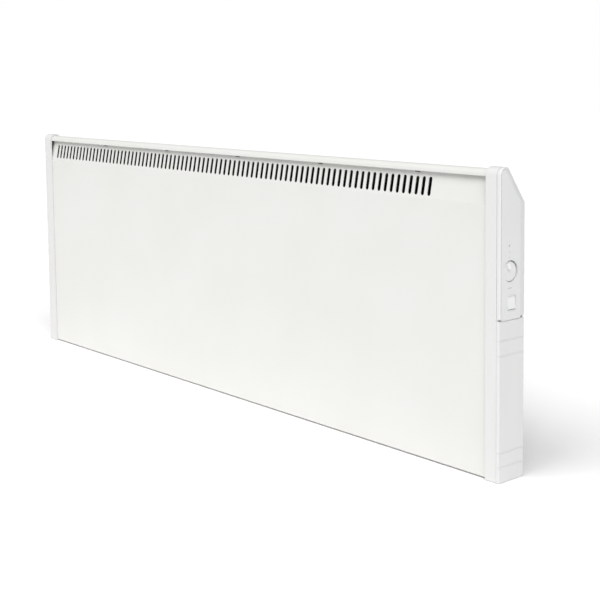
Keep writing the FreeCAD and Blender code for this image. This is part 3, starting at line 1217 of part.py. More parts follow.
def switched_wire():
    blade, y = SWITCH_HEIGHT + BLADE_STEP, DIAL_Y + BOARD_MOUTHS[1]
    return wire([
        (BLADE_END, SWITCH_Y, blade),
        (BLADE_END - BLADE_LEAD, SWITCH_Y, blade),
        (BLADE_END - BLADE_LEAD - WIRE_SWAY, y, blade + BLADE_LEAD),
        (BOARD_MOUTH_X, y, BOARD_BLOCK_FOOT - WIRE_SWAY),
        (BOARD_MOUTH_X, y, BOARD_BLOCK_FOOT + WIRE_GRIP),
    ])


def neutral_wire():
    block_top = BLOCK_HEIGHT + BLOCK_TALL
    return wire([
        (BLOCK_PLACES[0], BLOCK_MOUTH_Y, BLOCK_GRIP + TINY),
        (BLOCK_PLACES[0], BLOCK_MOUTH_Y, block_top + RISER),
        (BLOCK_PLACES[0] + BOARD_LEAD, BLOCK_MOUTH_Y - WIRE_GRIP, halfway(block_top + RISER, BOARD_FOOT)),
    ] + to_board(DIAL_Y + BOARD_MOUTHS[2]))


def element_wire():
    start = ROD_RIGHT + TERMINAL_PIN_LENGTH
    turn = start + BLADE_LEAD + LOOP
    middle = halfway(ELEMENT_HEIGHT + RISER, BOARD_FOOT)
    return wire([
        (start, ELEMENT_DEPTH, ELEMENT_HEIGHT),
        (start + BLADE_LEAD, ELEMENT_DEPTH, ELEMENT_HEIGHT),
        (turn, ELEMENT_DEPTH - WIRE_SWAY, ELEMENT_HEIGHT + LOOP),
        (turn + BLADE_LEAD, ELEMENT_DEPTH - 2 * WIRE_SWAY, middle),
    ] + to_board(DIAL_Y + BOARD_MOUTHS[0]))


def return_wire():
    start = ROD_LEFT - TERMINAL_PIN_LENGTH
    return wire([
        (BLOCK_PLACES[0], BLOCK_MOUTH_Y, BLOCK_GRIP - TINY),
        (BLOCK_PLACES[0], BLOCK_MOUTH_Y, BLOCK_HEIGHT - LOOP),
        (BLOCK_PLACES[0] - BLADE_LEAD, MIDDLE_Y, GROMMET_HEIGHT),
        (start - BLADE_LEAD, MIDDLE_Y, GROMMET_HEIGHT),
        (start - BLADE_LEAD - WIRE_SWAY, ELEMENT_DEPTH, GROMMET_HEIGHT + LOOP),
        (start - BLADE_LEAD - WIRE_SWAY, ELEMENT_DEPTH, ELEMENT_HEIGHT - BLADE_LEAD),
        (start - BLADE_LEAD, ELEMENT_DEPTH, ELEMENT_HEIGHT),
        (start, ELEMENT_DEPTH, ELEMENT_HEIGHT),
    ])


def earth_wire():
    start, y = EARTH_X + EARTH_TAG_REACH, BACK_INSIDE - EARTH_NUT - EARTH_TAG / 2
    return wire([
        (start, y, EARTH_HEIGHT),
        (start + EARTH_LEAD, y, EARTH_HEIGHT),
        (BLOCK_PLACES[1] + WIRE_GRIP, BLOCK_MOUTH_Y, EARTH_HEIGHT + LOOP),
        (BLOCK_PLACES[1], BLOCK_MOUTH_Y, BLOCK_HEIGHT - EARTH_LEAD),
        (BLOCK_PLACES[1], BLOCK_MOUTH_Y, BLOCK_GRIP),
    ])


def sensor_lead():
    """Thin lead from the sensor up the front of the wiring space, through to the board's back."""
    climb = BOARD_FOOT - SENSOR_HEAD
    y = DIAL_Y - SENSOR_LEAD_FRONT
    turns = [(SENSOR_X, MIDDLE_Y), (SENSOR_X - BLADE_LEAD, MIDDLE_Y - WIRE_SWAY),
             (SENSOR_X - WIRE_SWAY, MIDDLE_Y - 2 * WIRE_SWAY)]
    rise = [(x, at_y, SENSOR_HEAD + share * climb) for (x, at_y), share in zip(turns, SENSOR_RISE_SHARES)]
    return wire([(SENSOR_X, MIDDLE_Y, SENSOR_HEAD)] + rise + [
        (BOARD_MOUTH_X - BLADE_LEAD, y, BOARD_FOOT + EARTH_LEAD),
        (BOARD_MOUTH_X - WIRE_SWAY, y, BOARD_FOOT + BOARD_LEAD),
        (BOARD_REAR, y, BOARD_FOOT + BOARD_LEAD),
    ], SENSOR_LEAD_RADIUS)


def right_end_cap():
    return cap_frame(RIGHT_SEAM, -1).cut(control_window(RIGHT_SEAM - WEB, RIGHT_SEAM))


def right_end_plate():
    return end_plate(SHEET_RIGHT, -1).cut(control_window(SHEET_RIGHT - SHEET, SHEET_RIGHT))


PARTS = {
    "left_end_plate": lambda: end_plate(SHEET_LEFT, 1),
    "control_bulkhead": bulkhead,
    "left_end_cap": lambda: cap_frame(LEFT_SEAM, 1),
    "left_side_cover": lambda: side_cover(LEFT, LEFT_SEAM, CASE_HEIGHT),
    "lower_side_cover": lambda: side_cover(RIGHT, RIGHT_SEAM, HOUSING_BASE - HOUSING_GAP),
}
for make in (front_panel, top_rail, back_panel, bottom_plate, rail_clips, right_end_plate, right_end_cap,
             control_housing, dial, dial_marker, dial_shaft, potentiometer, switch_body, rocker,
             switch_terminals, control_board, board_posts, board_screws, board_block, relay, lamp,
             indicator_lens, heat_shield, element_fins, heating_rod, element_terminals, element_brackets,
             element_bushes, bracket_screws, thermal_cutout, cutout_clip, grommet, terminal_block,
             block_screws, cable_gland, gland_nut, earth_stud, earth_nuts, earth_tag, sensor_holder,
             room_sensor, rear_inserts, rail_screws, case_screws, live_wire, switched_wire, neutral_wire,
             element_wire, return_wire, earth_wire, sensor_lead):
    PARTS[make.__name__] = make

os.makedirs("parts", exist_ok=True)
for name, make in PARTS.items():
    shape = make()
    assert shape.isValid() and shape.Solids, name
    shape.exportStep("parts/" + name + ".step")
    print(name, len(shape.Solids), round(shape.Volume, 1))
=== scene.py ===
import json
import math

import bmesh
import bpy
import numpy as np
from mathutils import Matrix, Vector


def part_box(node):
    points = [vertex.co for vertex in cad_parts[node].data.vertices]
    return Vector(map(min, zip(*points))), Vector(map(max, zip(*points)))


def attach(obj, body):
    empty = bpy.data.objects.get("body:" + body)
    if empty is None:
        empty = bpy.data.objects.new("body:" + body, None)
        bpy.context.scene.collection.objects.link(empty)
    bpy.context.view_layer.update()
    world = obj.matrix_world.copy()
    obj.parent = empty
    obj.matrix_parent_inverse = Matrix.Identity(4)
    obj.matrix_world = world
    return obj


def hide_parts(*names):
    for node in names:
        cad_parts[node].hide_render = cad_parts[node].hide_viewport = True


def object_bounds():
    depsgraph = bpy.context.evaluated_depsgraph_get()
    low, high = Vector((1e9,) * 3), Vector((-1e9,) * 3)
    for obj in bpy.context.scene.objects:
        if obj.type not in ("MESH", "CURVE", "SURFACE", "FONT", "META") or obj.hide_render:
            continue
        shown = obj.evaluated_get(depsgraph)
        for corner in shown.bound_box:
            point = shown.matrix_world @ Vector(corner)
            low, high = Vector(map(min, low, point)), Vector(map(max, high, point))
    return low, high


# A slim electric wall heater, in metres: +X is its control end, -Y its front, +Z up.
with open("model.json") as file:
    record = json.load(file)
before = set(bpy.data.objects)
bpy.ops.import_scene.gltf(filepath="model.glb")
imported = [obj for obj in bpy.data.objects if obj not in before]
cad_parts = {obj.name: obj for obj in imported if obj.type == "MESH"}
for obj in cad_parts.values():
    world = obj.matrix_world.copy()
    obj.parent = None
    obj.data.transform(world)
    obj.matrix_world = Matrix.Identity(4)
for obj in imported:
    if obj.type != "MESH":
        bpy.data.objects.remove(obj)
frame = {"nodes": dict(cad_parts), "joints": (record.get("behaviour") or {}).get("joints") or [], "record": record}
cad_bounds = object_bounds()

MM = 0.001
CASE, DIAL = "case", "dial"


def hinge(name):
    """The place that a joint turns about."""
    return Vector(next(joint["pos_m"] for joint in frame["joints"] if joint["name"] == name))


# ---- camera, light and floor --------------------------------------------------------------
CAMERA_RIGHT = 0.9809       # beyond the control end
CAMERA_FRONT = 1.16035      # in front of the case
CAMERA_HEIGHT = 0.5304
CAMERA_YAW = 49.559         # degrees turned towards the far end
CAMERA_PITCH = 5.43         # degrees tilted down
CAMERA_ROLL = -0.661        # degrees
LENS_LENGTH = 73.76         # mm
FILM_WIDTH = 36.0           # mm
LENS_SHIFT = -0.2           # share of the film's width that the lens is moved down
NEAREST, FARTHEST = 0.05, 60.0


def place_camera():
    """Eye level just above the heater, off its control end. The camera is tilted only a little and
    the lens is shifted down for the rest, so that the upright edges stay nearly upright."""
    yaw, pitch, roll = (math.radians(turn) for turn in (CAMERA_YAW, CAMERA_PITCH, CAMERA_ROLL))
    ahead = Vector((-math.sin(yaw) * math.cos(pitch), math.cos(yaw) * math.cos(pitch), -math.sin(pitch)))
    level = Vector((math.cos(yaw), math.sin(yaw), 0.0))
    lift = level.cross(ahead)
    right = level * math.cos(roll) + lift * math.sin(roll)
    up = lift * math.cos(roll) - level * math.sin(roll)
    lens = bpy.data.cameras.new("camera")
    lens.lens = LENS_LENGTH
    lens.sensor_width = FILM_WIDTH
    lens.shift_y = LENS_SHIFT
    lens.clip_start = NEAREST
    lens.clip_end = FARTHEST
    camera = bpy.data.objects.new("camera", lens)
    low, high = cad_bounds
    place = (high[0] + CAMERA_RIGHT, low[1] - CAMERA_FRONT, low[2] + CAMERA_HEIGHT)
    camera.matrix_world = Matrix.Translation(place) @ Matrix((right, up, -ahead)).transposed().to_4x4()
    bpy.context.scene.collection.objects.link(camera)
    bpy.context.scene.camera = camera


SKY = 0.35                  # white walls and ceiling round the set
# Soft boxes: name, strength, degrees that the box fills, degrees above the floor, degrees from the
# front towards the control end.
SOFT_BOXES = (("key_box", 1.34, 40.0, 55.0, -8.0), ("fill_box", 1.90, 42.0, 42.0, 56.0))
LAMP_WHITE = (1.0, 0.998, 0.992)
FLOOR_HALF = 9.0
FLOOR_DROP = 0.0001         # keeps the sheet from meeting the heater's foot


def light_the_set():
    world = bpy.data.worlds.new("white_room")
    bpy.context.scene.world = world
    world.use_nodes = True
    tree = world.node_tree
    tree.nodes.clear()
    seen = add(tree, "ShaderNodeLightPath")
    strength = add(tree, "ShaderNodeMapRange", {"To Min": SKY, "To Max": 1.0},
                   {"Value": seen.outputs["Is Camera Ray"]})
    glow = add(tree, "ShaderNodeBackground", {"Color": linear("FFFFFF")},
               {"Strength": strength.outputs["Result"]})
    add(tree, "ShaderNodeOutputWorld", links={"Surface": glow.outputs["Background"]})
    for name, energy, width, height, side in SOFT_BOXES:
        lamp = bpy.data.lights.new(name, "SUN")
        lamp.energy = energy
        lamp.angle = math.radians(width)
        lamp.color = LAMP_WHITE
        box = bpy.data.objects.new(name, lamp)
        side, height = math.radians(side), math.radians(height)
        level = math.cos(height)
        towards = Vector((math.sin(side) * level, -math.cos(side) * level, math.sin(height)))
        box.rotation_euler = towards.to_track_quat("Z", "Y").to_euler()
        bpy.context.scene.collection.objects.link(box)
    view = bpy.context.scene.view_settings
    view.view_transform = "Standard"
    view.look = "None"


def lay_floor():
    """White studio sheet, level with the foot of the heater."""
    corners = [(-1, -1), (1, -1), (1, 1), (-1, 1)]
    mesh = bpy.data.meshes.new("floor")
    mesh.from_pydata([(x * FLOOR_HALF, y * FLOOR_HALF, 0) for x, y in corners], [], [(0, 1, 2, 3)])
    mesh.materials.append(studio_sheet())
    floor = bpy.data.objects.new("floor", mesh)
    bpy.context.scene.collection.objects.link(floor)
    floor.location.z = cad_bounds[0].z - FLOOR_DROP


# ---- materials ----------------------------------------------------------------------------
def linear(colour):
    """Linear RGBA of an sRGB colour written as six hex digits."""
    parts = [int(colour[i:i + 2], 16) / 255 for i in (0, 2, 4)]
    return tuple(c / 12.92 if c <= 0.04045 else ((c + 0.055) / 1.055) ** 2.4 for c in parts) + (1.0,)


def add(tree, kind, values=None, links=None, **settings):
    """Adds a node: settings are its own choices, values go on its inputs, links come into them."""
    node = tree.nodes.new(kind)
    for name, value in settings.items():
        setattr(node, name, value)
    for name, value in (values or {}).items():
        node.inputs[name].default_value = value
    for name, socket in (links or {}).items():
        tree.links.new(socket, node.inputs[name])
    return node


def new_tree(name):
    material = bpy.data.materials.new(name)
    material.use_nodes = True
    material.node_tree.nodes.clear()
    return material, material.node_tree


def object_place(tree, stretch=(1.0, 1.0, 1.0)):
    """Object coordinates in metres, drawn out along an axis by stretch."""
    place = add(tree, "ShaderNodeTexCoord").outputs["Object"]
    squeezed = tuple(1.0 / s for s in stretch)
    return add(tree, "ShaderNodeMapping", {"Scale": squeezed}, {"Vector": place}).outputs["Vector"]


def noise(tree, place, size_mm, detail=2.0):
    """Soft noise whose blots are about size_mm across."""
    return add(tree, "ShaderNodeTexNoise", {"Scale": 1.0 / (size_mm * MM), "Detail": detail},
               {"Vector": place}).outputs["Fac"]


def blend_of(tree, factor, deep, pale, low=0.35, high=0.65):
    """Colour that goes from deep to pale as the factor goes from low to high."""
    ramp = add(tree, "ShaderNodeValToRGB", links={"Fac": factor})
    ramp.color_ramp.elements[0].color = linear(deep)
    ramp.color_ramp.elements[1].color = linear(pale)
    ramp.color_ramp.elements[0].position = low
    ramp.color_ramp.elements[1].position = high
    return ramp.outputs["Color"]


def between(tree, factor, low, high):
    """A value that goes from low to high over the middle of a noise's range."""
    return add(tree, "ShaderNodeMapRange", {"From Min": 0.3, "From Max": 0.7, "To Min": low, "To Max": high},
               {"Value": factor}).outputs["Result"]


def finish_tree(tree, colour, rough, height, depth_mm, **shader):
    """Principled surface with this colour, roughness and relief height in millimetres."""
    relief = add(tree, "ShaderNodeBump", {"Strength": 1.0, "Distance": depth_mm * MM}, {"Height": height})
    body = add(tree, "ShaderNodeBsdfPrincipled", shader,
               {"Base Color": colour, "Roughness": rough, "Normal": relief.outputs["Normal"]})
    add(tree, "ShaderNodeOutputMaterial", links={"Surface": body.outputs["BSDF"]})


def grained(name, pale, deep, patch_mm, grain_mm, depth_mm, rough, stretch=(1.0, 1.0, 1.0), **shader):
    """A surface whose colour drifts between two shades in patches, with a fine grain in its relief and
    gloss. rough is its lowest and highest roughness; stretch lengthens the grain along an axis."""
    material, tree = new_tree(name)
    place = object_place(tree)
    grain = noise(tree, object_place(tree, stretch), grain_mm, 3.0)
    colour = blend_of(tree, noise(tree, place, patch_mm), deep, pale)
    finish_tree(tree, colour, between(tree, grain, *rough), grain, depth_mm, **shader)
    return material


def bands(tree, place, pitch_mm, direction, distortion=0.0):
    """Bands that repeat every pitch_mm. At scale 1 the wave texture repeats every pi / 10."""
    return add(tree, "ShaderNodeTexWave",
               {"Scale": math.pi / 10 / (pitch_mm * MM), "Distortion": distortion, "Detail": 0.0},
               {"Vector": place}, bands_direction=direction).outputs["Fac"]


def studio_sheet():
    # Matt white vinyl sheet: even and pale, with no shine to mirror the heater.
    return grained("matt_vinyl_sheet", "FEFEFE", "FDFDFD", 900.0, 4.0, 0.01, (0.85, 0.9), IOR=1.3)


def powder_coat():
    # Polyester powder, sprayed dry on folded steel and baked until it flows together. It never flows
    # quite flat, so the satin white breaks into a faint orange peel, and dust grains stay as specks.
    # The peel is drawn 2.5 mm across, about twice its real size, so that it shows at this distance.
    material, tree = new_tree("powder_coated_steel")
    place = object_place(tree)
    peel = noise(tree, place, 2.5, 2.0)
    drift = noise(tree, place, 120.0, 1.0)
    colour = blend_of(tree, drift, "D8D8D5", "DADAD8")
    finish_tree(tree, colour, between(tree, peel, 0.36, 0.45), peel, 0.006, IOR=1.5)
    return material


def moulded(name, pale, deep, grain_mm, depth_mm, rough):
    """Injection-moulded plastic: the mould's etched grain, and slow flow shades along the piece."""
    material, tree = new_tree(name)
    grain = noise(tree, object_place(tree), grain_mm, 4.0)
    flow = noise(tree, object_place(tree, (1.0, 1.0, 4.0)), 35.0, 1.0)
    colour = blend_of(tree, flow, deep, pale)
    finish_tree(tree, colour, between(tree, grain, *rough), grain, depth_mm, IOR=1.53)
    return material


def galvanised():
    # Steel dipped in molten zinc: the zinc freezes in flat crystals 6 to 12 mm wide, each with its own
    # brightness and gloss, and dulls to a blue grey between them.
    material, tree = new_tree("galvanised_sheet")
    place = object_place(tree)
    crystals = add(tree, "ShaderNodeTexVoronoi", {"Scale": 1.0 / (9.0 * MM)}, {"Vector": place})
    tone = add(tree, "ShaderNodeSeparateColor", links={"Color": crystals.outputs["Color"]}).outputs["Red"]
    grain = noise(tree, place, 1.0, 3.0)
    colour = blend_of(tree, tone, "98A0A6", "BCC1C4", 0.0, 1.0)
    rough = add(tree, "ShaderNodeMapRange", {"To Min": 0.32, "To Max": 0.52},
                {"Value": tone}).outputs["Result"]
    finish_tree(tree, colour, rough, grain, 0.003, Metallic=1.0)
    return material


def circuit_board():
    # Glass-fibre board under green solder resist. The copper tracks beneath it show as paler lanes
    # about 2.5 mm apart that run up the board, and the weave gives the resist its faint ripple.
    material, tree = new_tree("solder_resist")
    lanes = bands(tree, object_place(tree, (1.0, 1.0, 6.0)), 2.5, "Y", 6.0)
    weave = noise(tree, object_place(tree), 0.9, 2.0)
    colour = blend_of(tree, lanes, "0D4020", "1E6B38", 0.55, 0.62)
    finish_tree(tree, colour, between(tree, weave, 0.22, 0.36), weave, 0.012, IOR=1.5)
    return material


def earth_wire():
    # Silicone sleeve for the protective earth: two thirds green and one third yellow, in stripes laid
    # along the wire when it is extruded. They are drawn as slanting bands about 8 mm apart.
    material, tree = new_tree("green_yellow_silicone")
    place = object_place(tree)
    stripes = bands(tree, place, 8.0, "DIAGONAL")
    grain = noise(tree, place, 0.4)
    colour = blend_of(tree, stripes, "3F8E34", "D8C23A", 0.64, 0.68)
    finish_tree(tree, colour, between(tree, grain, 0.4, 0.5), grain, 0.004, IOR=1.41)
    return material


ALONG = (40.0, 1.0, 1.0)    # grain drawn out along the case

FINISHES = {
    "enamelled_steel": powder_coat,
    # Flame-proof ABS, moulded in a spark-etched tool: matt, with a fine even grain that hides
    # scratches. The grain is drawn 0.9 mm across, about three times its real size.
    "white_plastic": lambda: moulded("grained_abs", "D8D8D8", "D6D6D6", 0.9, 0.012, (0.46, 0.56)),
    # The control housing is the same plastic from another batch, a shade cooler and a little smoother.
    "housing_plastic": lambda: moulded("fine_grained_abs", "D8D9D9", "D6D7D7", 0.7, 0.008, (0.42, 0.5)),
    # The dial is moulded in a polished tool and then lightly blasted, so it is satin; its colour is a shade
    # brighter than the housing's, a painted highlight.
    "dial_plastic": lambda: moulded("satin_abs_painted_highlight", "DADBDB", "D8D9D9", 0.5, 0.003, (0.36, 0.44)),
    # Rocker keys are glossy polycarbonate: a clear highlight, and almost no grain.
    "rocker_plastic": lambda: moulded("polished_polycarbonate", "E3E4E4", "E1E2E2", 0.8, 0.0015, (0.14, 0.2)),
    # The switch's frame is glass-filled nylon, whose fibres leave a faintly cloudy satin skin.
    "switch_plastic": lambda: moulded("satin_polyamide", "D5D7D7", "D2D4D4", 0.6, 0.004, (0.34, 0.42)),
    # The pointer strip pressed into the ridge is drawn white, brighter than the knob and smoother: its white is a
    # painted highlight on the finger ridge.
    "marker_paint": lambda: moulded("pointer_painted_highlight", "ECEDED", "E9EAEA", 0.4, 0.002, (0.3, 0.4)),
    # Black nylon of clips, relay and gland: matt where it left the mould, with pale handling marks.
    "black_plastic": lambda: grained("black_polyamide", "222225", "17171A", 12.0, 0.5, 0.01, (0.4, 0.55),
                                     IOR=1.53),
    # Smoke-grey acrylic light pipe, polished at its end.
    "lens": lambda: grained("smoked_acrylic", "B9BBBC", "ABADAE", 3.0, 0.8, 0.001, (0.06, 0.1), IOR=1.49),
    "board": circuit_board,
    # Uncoloured nylon of terminal blocks and posts: a warm, slightly cloudy white.
    "block_plastic": lambda: moulded("natural_polyamide", "DDDAD0", "D2CFC4", 0.5, 0.008, (0.45, 0.55)),
    # Bright zinc plate on rolled screws and pins: even, with fine tumbling scratches.
    "screw_steel": lambda: grained("zinc_plated_steel", "BCBFC2", "A2A6AA", 4.0, 0.3, 0.004, (0.26, 0.42),
                                   Metallic=1.0),
    "zinc_steel": galvanised,
    # Terminals stamped from brass strip: rolled grain, browned a little by warmth.
    "brass": lambda: grained("stamped_brass", "CDAE60", "AD8B42", 5.0, 0.4, 0.004, (0.25, 0.38),
                             Metallic=1.0),
    # Fins of extruded aluminium: long die lines run the length of the element.
    "aluminium": lambda: grained("extruded_aluminium", "C4C6C8", "AEB2B5", 30.0, 0.5, 0.006, (0.3, 0.46),
                                 ALONG, Metallic=1.0),
    # The shield behind the slots is drawn matt and nearly black, chalky in patches: the black is a painted shade
    # for the dark inside seen through the slots.
    "shield_black": lambda: grained("painted_shade_black", "1C1E21", "141619", 40.0, 1.2, 0.012, (0.7, 0.85),
                                    IOR=1.45),
    # Tubes drawn through a die and heated brown: lines along them, with straw and blue-grey drifts.
    "rod_steel": lambda: grained("drawn_steel", "938C84", "706A64", 20.0, 0.4, 0.005, (0.32, 0.45), ALONG,
                                 Metallic=1.0),
    # Pressed and fired steatite: cream, dry, with a fine pressed grain.
    "ceramic_white": lambda: grained("steatite", "E6E0D2", "D6CFBE", 5.0, 0.4, 0.008, (0.42, 0.55), IOR=1.6),
    # EPDM rubber, dusted with talc when it left the mould.
    "grommet_rubber": lambda: grained("epdm_rubber", "262626", "181818", 6.0, 0.4, 0.012, (0.65, 0.85),
                                      IOR=1.52),
    # Wires have extruded silicone sleeves: soft sheen, drawn smooth along the wire.
    "wire_brown": lambda: grained("brown_silicone", "5E3722", "4A2A19", 10.0, 0.4, 0.004, (0.4, 0.52),
                                  IOR=1.41),
    "wire_blue": lambda: grained("blue_silicone", "2C61B4", "224D95", 10.0, 0.4, 0.004, (0.4, 0.52),
                                 IOR=1.41),
    "wire_green": earth_wire,
    "wire_black": lambda: grained("black_silicone", "222224", "161618", 10.0, 0.4, 0.004, (0.4, 0.52),
                                  IOR=1.41),
}


def finish_the_nodes():
    """Gives each CAD node the finish of its material slot."""
    for part in frame["record"]["subparts"]:
        mesh = frame["nodes"][part["node"]].data
        mesh.materials.clear()
        mesh.materials.append(finish[part["material_slot"]])


# ---- pieces -------------------------------------------------------------------------------
def closed_surface(name, rings, body, slot, nodes, crease=32.0, looped=False):
    """Skin over a stack of closed rings, which are rows of points of equal number. Neighbouring rings are
    joined by quads. The last ring is joined to the first if looped, and otherwise a fan to its middle
    closes each of the two. Edges that turn by more than crease degrees stay sharp. The piece rides
    on body and stands for nodes."""
    rows, count, _ = rings.shape
    row, ring = np.arange(rows if looped else rows - 1)[:, None], np.arange(count)
    beyond = (row + 1) % rows
    after = (ring + 1) % count
    quads = np.stack(np.broadcast_arrays(row * count + ring, row * count + after, beyond * count + after,
                                         beyond * count + ring), axis=-1).reshape(-1, 4)
    points, fans = rings.reshape(-1, 3), []
    if not looped:
        last = (rows - 1) * count
        foot = np.stack([after, ring, np.full(count, rows * count)], axis=-1)
        head = np.stack([last + ring, last + after, np.full(count, rows * count + 1)], axis=-1)
        points = np.concatenate([points, rings[[0, -1]].mean(axis=1)])
        fans = foot.tolist() + head.tolist()
    mesh = bpy.data.meshes.new(name)
    mesh.from_pydata(points.tolist(), [], quads.tolist() + fans)
    work = bmesh.new()
    work.from_mesh(mesh)
    bmesh.ops.recalc_face_normals(work, faces=work.faces)
    work.to_mesh(mesh)
    work.free()
    mesh.shade_smooth()
    mesh.set_sharp_from_angle(angle=math.radians(crease))
    mesh.materials.append(finish[slot])
    piece = bpy.data.objects.new(name, mesh)
    bpy.context.scene.collection.objects.link(piece)
    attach(piece, body)
    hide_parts(*nodes)
    return piece


def step(value, low, high):
    """Smooth rise from 0 at low to 1 at high."""
    share = np.clip((value - low) / (high - low), 0.0, 1.0)
    return share * share * (3.0 - 2.0 * share)


def fall(value, low, high):
    """Smooth fall from 1 at low to 0 at high."""
    return step(-value, -high, -low)


def around():
    """Angles of the points of a ring."""
    return np.linspace(0.0, 2.0 * math.pi, RING, endpoint=False)


RING = 144                  # points round a turned piece


def turned(centre, along, start, radii, depths):
    """Rings round the line through centre along the unit vector, at these radii and depths along it.
    radii may also hold one column per point of the ring, beginning at the unit vector start."""
    across = along.cross(start)
    angle = around()[:, None]
    radius = np.broadcast_to(np.asarray(radii).reshape(len(depths), -1), (len(depths), RING))
    depth = np.broadcast_to(np.asarray(depths).reshape(len(depths), -1), (len(depths), RING))
    outward = np.cos(angle) * np.array(start) + np.sin(angle) * np.array(across)
    return np.array(centre) + radius[..., None] * outward + depth[..., None] * np.array(along)


# The knob, in metres
RIM_ROUND = 0.8 * MM
RIM_CHAMFER = 0.3 * MM      # round its back
RIM_RINGS = 7
HUB_WALL = 2.0 * MM         # round the shaft
HUB_STANDS = 1.6 * MM       # behind the disc
FLUTES = 36                 # shallow flutes round the rim
FLUTE = 0.18 * MM           # depth of a flute
FLUTE_FADE = 0.4 * MM       # width over which the flutes end on the face
FACE_RINGS = 69
FACE_MIDDLE = 0.02 * MM     # radius of the last ring
HOLLOW = 0.35 * MM          # of the face
RIDGE_RISE = 2.7 * MM       # from the face to the top of the finger ridge
RIDGE_HALF = 3.0 * MM       # half its width
RIDGE_FROM, RIDGE_TO = 2.5 * MM, 12.0 * MM
RIDGE_FALL = 1.1 * MM       # width over which it rises


def knob():
    """Thermostat knob. Its profile of radius and height runs out of the shaft's bore, round the hub and
    the disc, over a rounded rim with shallow flutes, to the middle of a slightly hollow face. The
    finger ridge is a smooth step in height inside a strip that points at the marker."""
    low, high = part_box("dial")
    shaft_low, shaft_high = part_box("dial_shaft")
    marker_low, marker_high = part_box("dial_marker")
    centre = hinge("dial_turn")
    centre.x = 0.0
    pointer = (marker_low + marker_high) / 2 - centre
    pointer.x = 0.0
    pointer.normalize()
    radius = (high[1] - low[1]) / 2
    shaft = (shaft_high[1] - shaft_low[1]) / 2
    hub, foot, face = shaft + HUB_WALL, low[0] + HUB_STANDS, high[0] - RIDGE_RISE
    turn = np.linspace(0.0, math.pi / 2, RIM_RINGS)
    inner = np.linspace(radius - RIM_ROUND, FACE_MIDDLE, FACE_RINGS + 1)[1:]
    radii = np.concatenate([[FACE_MIDDLE, shaft, shaft, hub, hub, radius - RIM_CHAMFER, radius],
                            radius - RIM_ROUND + RIM_ROUND * np.cos(turn), inner])
    depths = np.concatenate([[shaft_high[0], shaft_high[0], low[0], low[0], foot, foot, foot + RIM_CHAMFER],
                             face - RIM_ROUND + RIM_ROUND * np.sin(turn), np.full(len(inner), face)])
    fluted = step(radii, radius - FLUTE_FADE, radius)[:, None] * (0.5 + 0.5 * np.cos(FLUTES * around()))
    radii = radii[:, None] - FLUTE * fluted
    on_face = (np.arange(len(depths)) >= len(depths) - len(inner))[:, None]
    ahead, aside = radii * np.cos(around()), np.abs(radii * np.sin(around()))
    ridge = step(ahead, RIDGE_FROM, RIDGE_FROM + RIDGE_FALL) * fall(ahead, RIDGE_TO - RIDGE_FALL, RIDGE_TO)
    ridge = ridge * fall(aside, RIDGE_HALF - RIDGE_FALL, RIDGE_HALF)
    hollow = HOLLOW * (1.0 - (radii / radius) ** 2)
    top = marker_low[0] - face
    depths = depths[:, None] + on_face * (ridge * (top + hollow) - hollow)
    rings = turned(centre, Vector((1.0, 0.0, 0.0)), pointer, radii, depths)
    closed_surface("thermostat_knob", rings, DIAL, "dial_plastic", ["dial"], crease=50.0)


# The lamp's light pipe, in metres
STEM_UNDER = 1.0 * MM       # the stem is this much thinner than the collar, in radius
STEM_CHAMFER = 0.1 * MM
COLLAR_THICK = 1.0 * MM
COLLAR_BACK = 3.7 * MM      # from the tip of the dome to the front of the collar
DOME_RISE = 0.5 * MM
DOME_RINGS = 12
DOME_MIDDLE = 0.01 * MM     # radius of the last ring


def lens():
    """Light pipe: a straight stem with a collar behind the face, and a domed end, whose height falls
    with the square of the distance from its middle."""
    low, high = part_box("indicator_lens")
    centre = Vector((0.0, (low[1] + high[1]) / 2, (low[2] + high[2]) / 2))
    collar = (high[1] - low[1]) / 2
    stem, seat = collar - STEM_UNDER, high[0] - COLLAR_BACK
    back = seat - COLLAR_THICK
    dome = np.linspace(stem, DOME_MIDDLE, DOME_RINGS)
    radii = np.concatenate([[DOME_MIDDLE, stem - STEM_CHAMFER, stem, stem, collar, collar, stem], dome])
    depths = np.concatenate([[low[0], low[0], low[0] + STEM_CHAMFER, back, back, seat, seat],
                             high[0] - DOME_RISE * (dome / stem) ** 2])
    rings = turned(centre, Vector((1.0, 0.0, 0.0)), Vector((0.0, 1.0, 0.0)), radii, depths)
    closed_surface("lamp_lens", rings, CASE, "lens", ["indicator_lens"])


# The cable gland, in metres
CAP_OVER = 3.0 * MM         # over the stem, in radius
CAP_THICK = 3.0 * MM
BORE_UNDER = 5.8 * MM       # the bore is this much under the cap, in radius
GLAND_ROUND = 0.6 * MM
GRIP_RIBS = 24
GRIP_DEPTH = 0.35 * MM
GRIP_EDGE = 0.05 * MM
GLAND_FINE = 8              # rings for each stretch of the profile


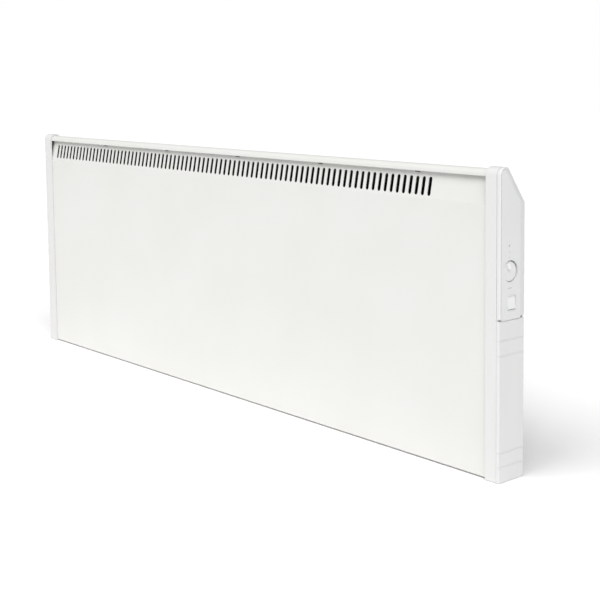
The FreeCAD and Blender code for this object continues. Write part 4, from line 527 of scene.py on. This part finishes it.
def gland():
    """Cable gland: a plain stem and a cap with grip ribs, whose depth fades in from the seat. The skin
    goes through the bore and closes on itself, so that the cable can pass."""
    low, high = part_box("cable_gland")
    centre = Vector(((low[0] + high[0]) / 2, 0.0, (low[2] + high[2]) / 2))
    cap = (high[0] - low[0]) / 2
    stem, bore, rim = cap - CAP_OVER, cap - BORE_UNDER, high[1] - GLAND_ROUND
    inner, outer, seat = low[1], high[1], high[1] - CAP_THICK
    radii = np.array([bore, stem - GLAND_ROUND, stem, stem, cap, cap, cap - GLAND_ROUND,
                      bore + GLAND_ROUND, bore])
    depths = np.array([inner, inner, inner + GLAND_ROUND, seat, seat, rim, outer, outer, rim])
    places = np.linspace(0, len(radii) - 1, GLAND_FINE * (len(radii) - 1) + 1)
    radii = np.interp(places, np.arange(len(radii)), radii)
    depths = np.interp(places, np.arange(len(depths)), depths)
    gripped = step(radii, cap - GRIP_EDGE, cap) * step(depths, seat, seat + GLAND_ROUND)
    radii = radii[:, None] - GRIP_DEPTH * gripped[:, None] * (0.5 + 0.5 * np.cos(GRIP_RIBS * around()))
    rings = turned(centre, Vector((0.0, 1.0, 0.0)), Vector((1.0, 0.0, 0.0)), radii, depths)
    closed_surface("ribbed_gland", rings, CASE, "black_plastic", ["cable_gland"], looped=True)


# A rail screw, in metres
SCREWS = 5
SHANK = 1.5 * MM            # radius
SHANK_CHAMFER = 0.3 * MM
SHANK_POINT = 0.4 * MM      # length of its chamfer
HEAD_HEIGHT = 1.8 * MM
HEAD_CHAMFER = 0.1 * MM
HEAD_ROUND = 0.9 * MM
HEAD_RINGS = 8               # round the edge of the head
CROWN_RINGS = 33            # over its flat crown
HEAD_MIDDLE = 0.01 * MM     # radius of the last ring
CROSS_DEPTH = 1.0 * MM
CROSS_HALF = (0.3 * MM, 0.55 * MM)      # half the width of a slot, at its foot and at its mouth
CROSS_REACH = (1.5 * MM, 2.0 * MM)      # from the middle to its end, at its foot and at its mouth


def screw_heads():
    """Rail screws: a pan head with a flat crown and a quarter-round edge. Its cross recess is sunk where
    the distance to one of two crossed centre lines is small, and its sides slope."""
    low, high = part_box("rail_screws")
    height, head, seat = (low[2] + high[2]) / 2, (high[2] - low[2]) / 2, high[1] - HEAD_HEIGHT
    pitch = (high[0] - low[0] - 2.0 * head) / (SCREWS - 1)
    turn = np.linspace(0.0, math.pi / 2, HEAD_RINGS)
    crown = np.linspace(head - HEAD_ROUND, HEAD_MIDDLE, CROWN_RINGS + 1)[1:]
    radii = np.concatenate([[HEAD_MIDDLE, SHANK - SHANK_CHAMFER, SHANK, SHANK, head - HEAD_CHAMFER, head],
                            head - HEAD_ROUND + HEAD_ROUND * np.cos(turn), crown])
    depths = np.concatenate([[low[1], low[1], low[1] + SHANK_POINT, seat, seat, seat + HEAD_CHAMFER],
                             high[1] - HEAD_ROUND + HEAD_ROUND * np.sin(turn), np.full(len(crown), high[1])])
    on_crown = (np.arange(len(depths)) >= len(depths) - len(crown))[:, None]
    flat, upright = (np.abs(radii[:, None] * wave(around())) for wave in (np.cos, np.sin))
    narrow, long = np.minimum(flat, upright), np.maximum(flat, upright)
    depths = depths[:, None] - CROSS_DEPTH * on_crown * fall(narrow, *CROSS_HALF) * fall(long, *CROSS_REACH)
    for number in range(SCREWS):
        centre = Vector((low[0] + head + pitch * number, 0.0, height))
        rings = turned(centre, Vector((0.0, 1.0, 0.0)), Vector((1.0, 0.0, 0.0)), radii, depths)
        closed_surface("rail_screw_%d" % (number + 1), rings, CASE, "screw_steel", ["rail_screws"],
                       crease=40.0)


place_camera()
light_the_set()
finish = {slot: make() for slot, make in FINISHES.items()}
lay_floor()
finish_the_nodes()
knob()
lens()
gland()
screw_heads()
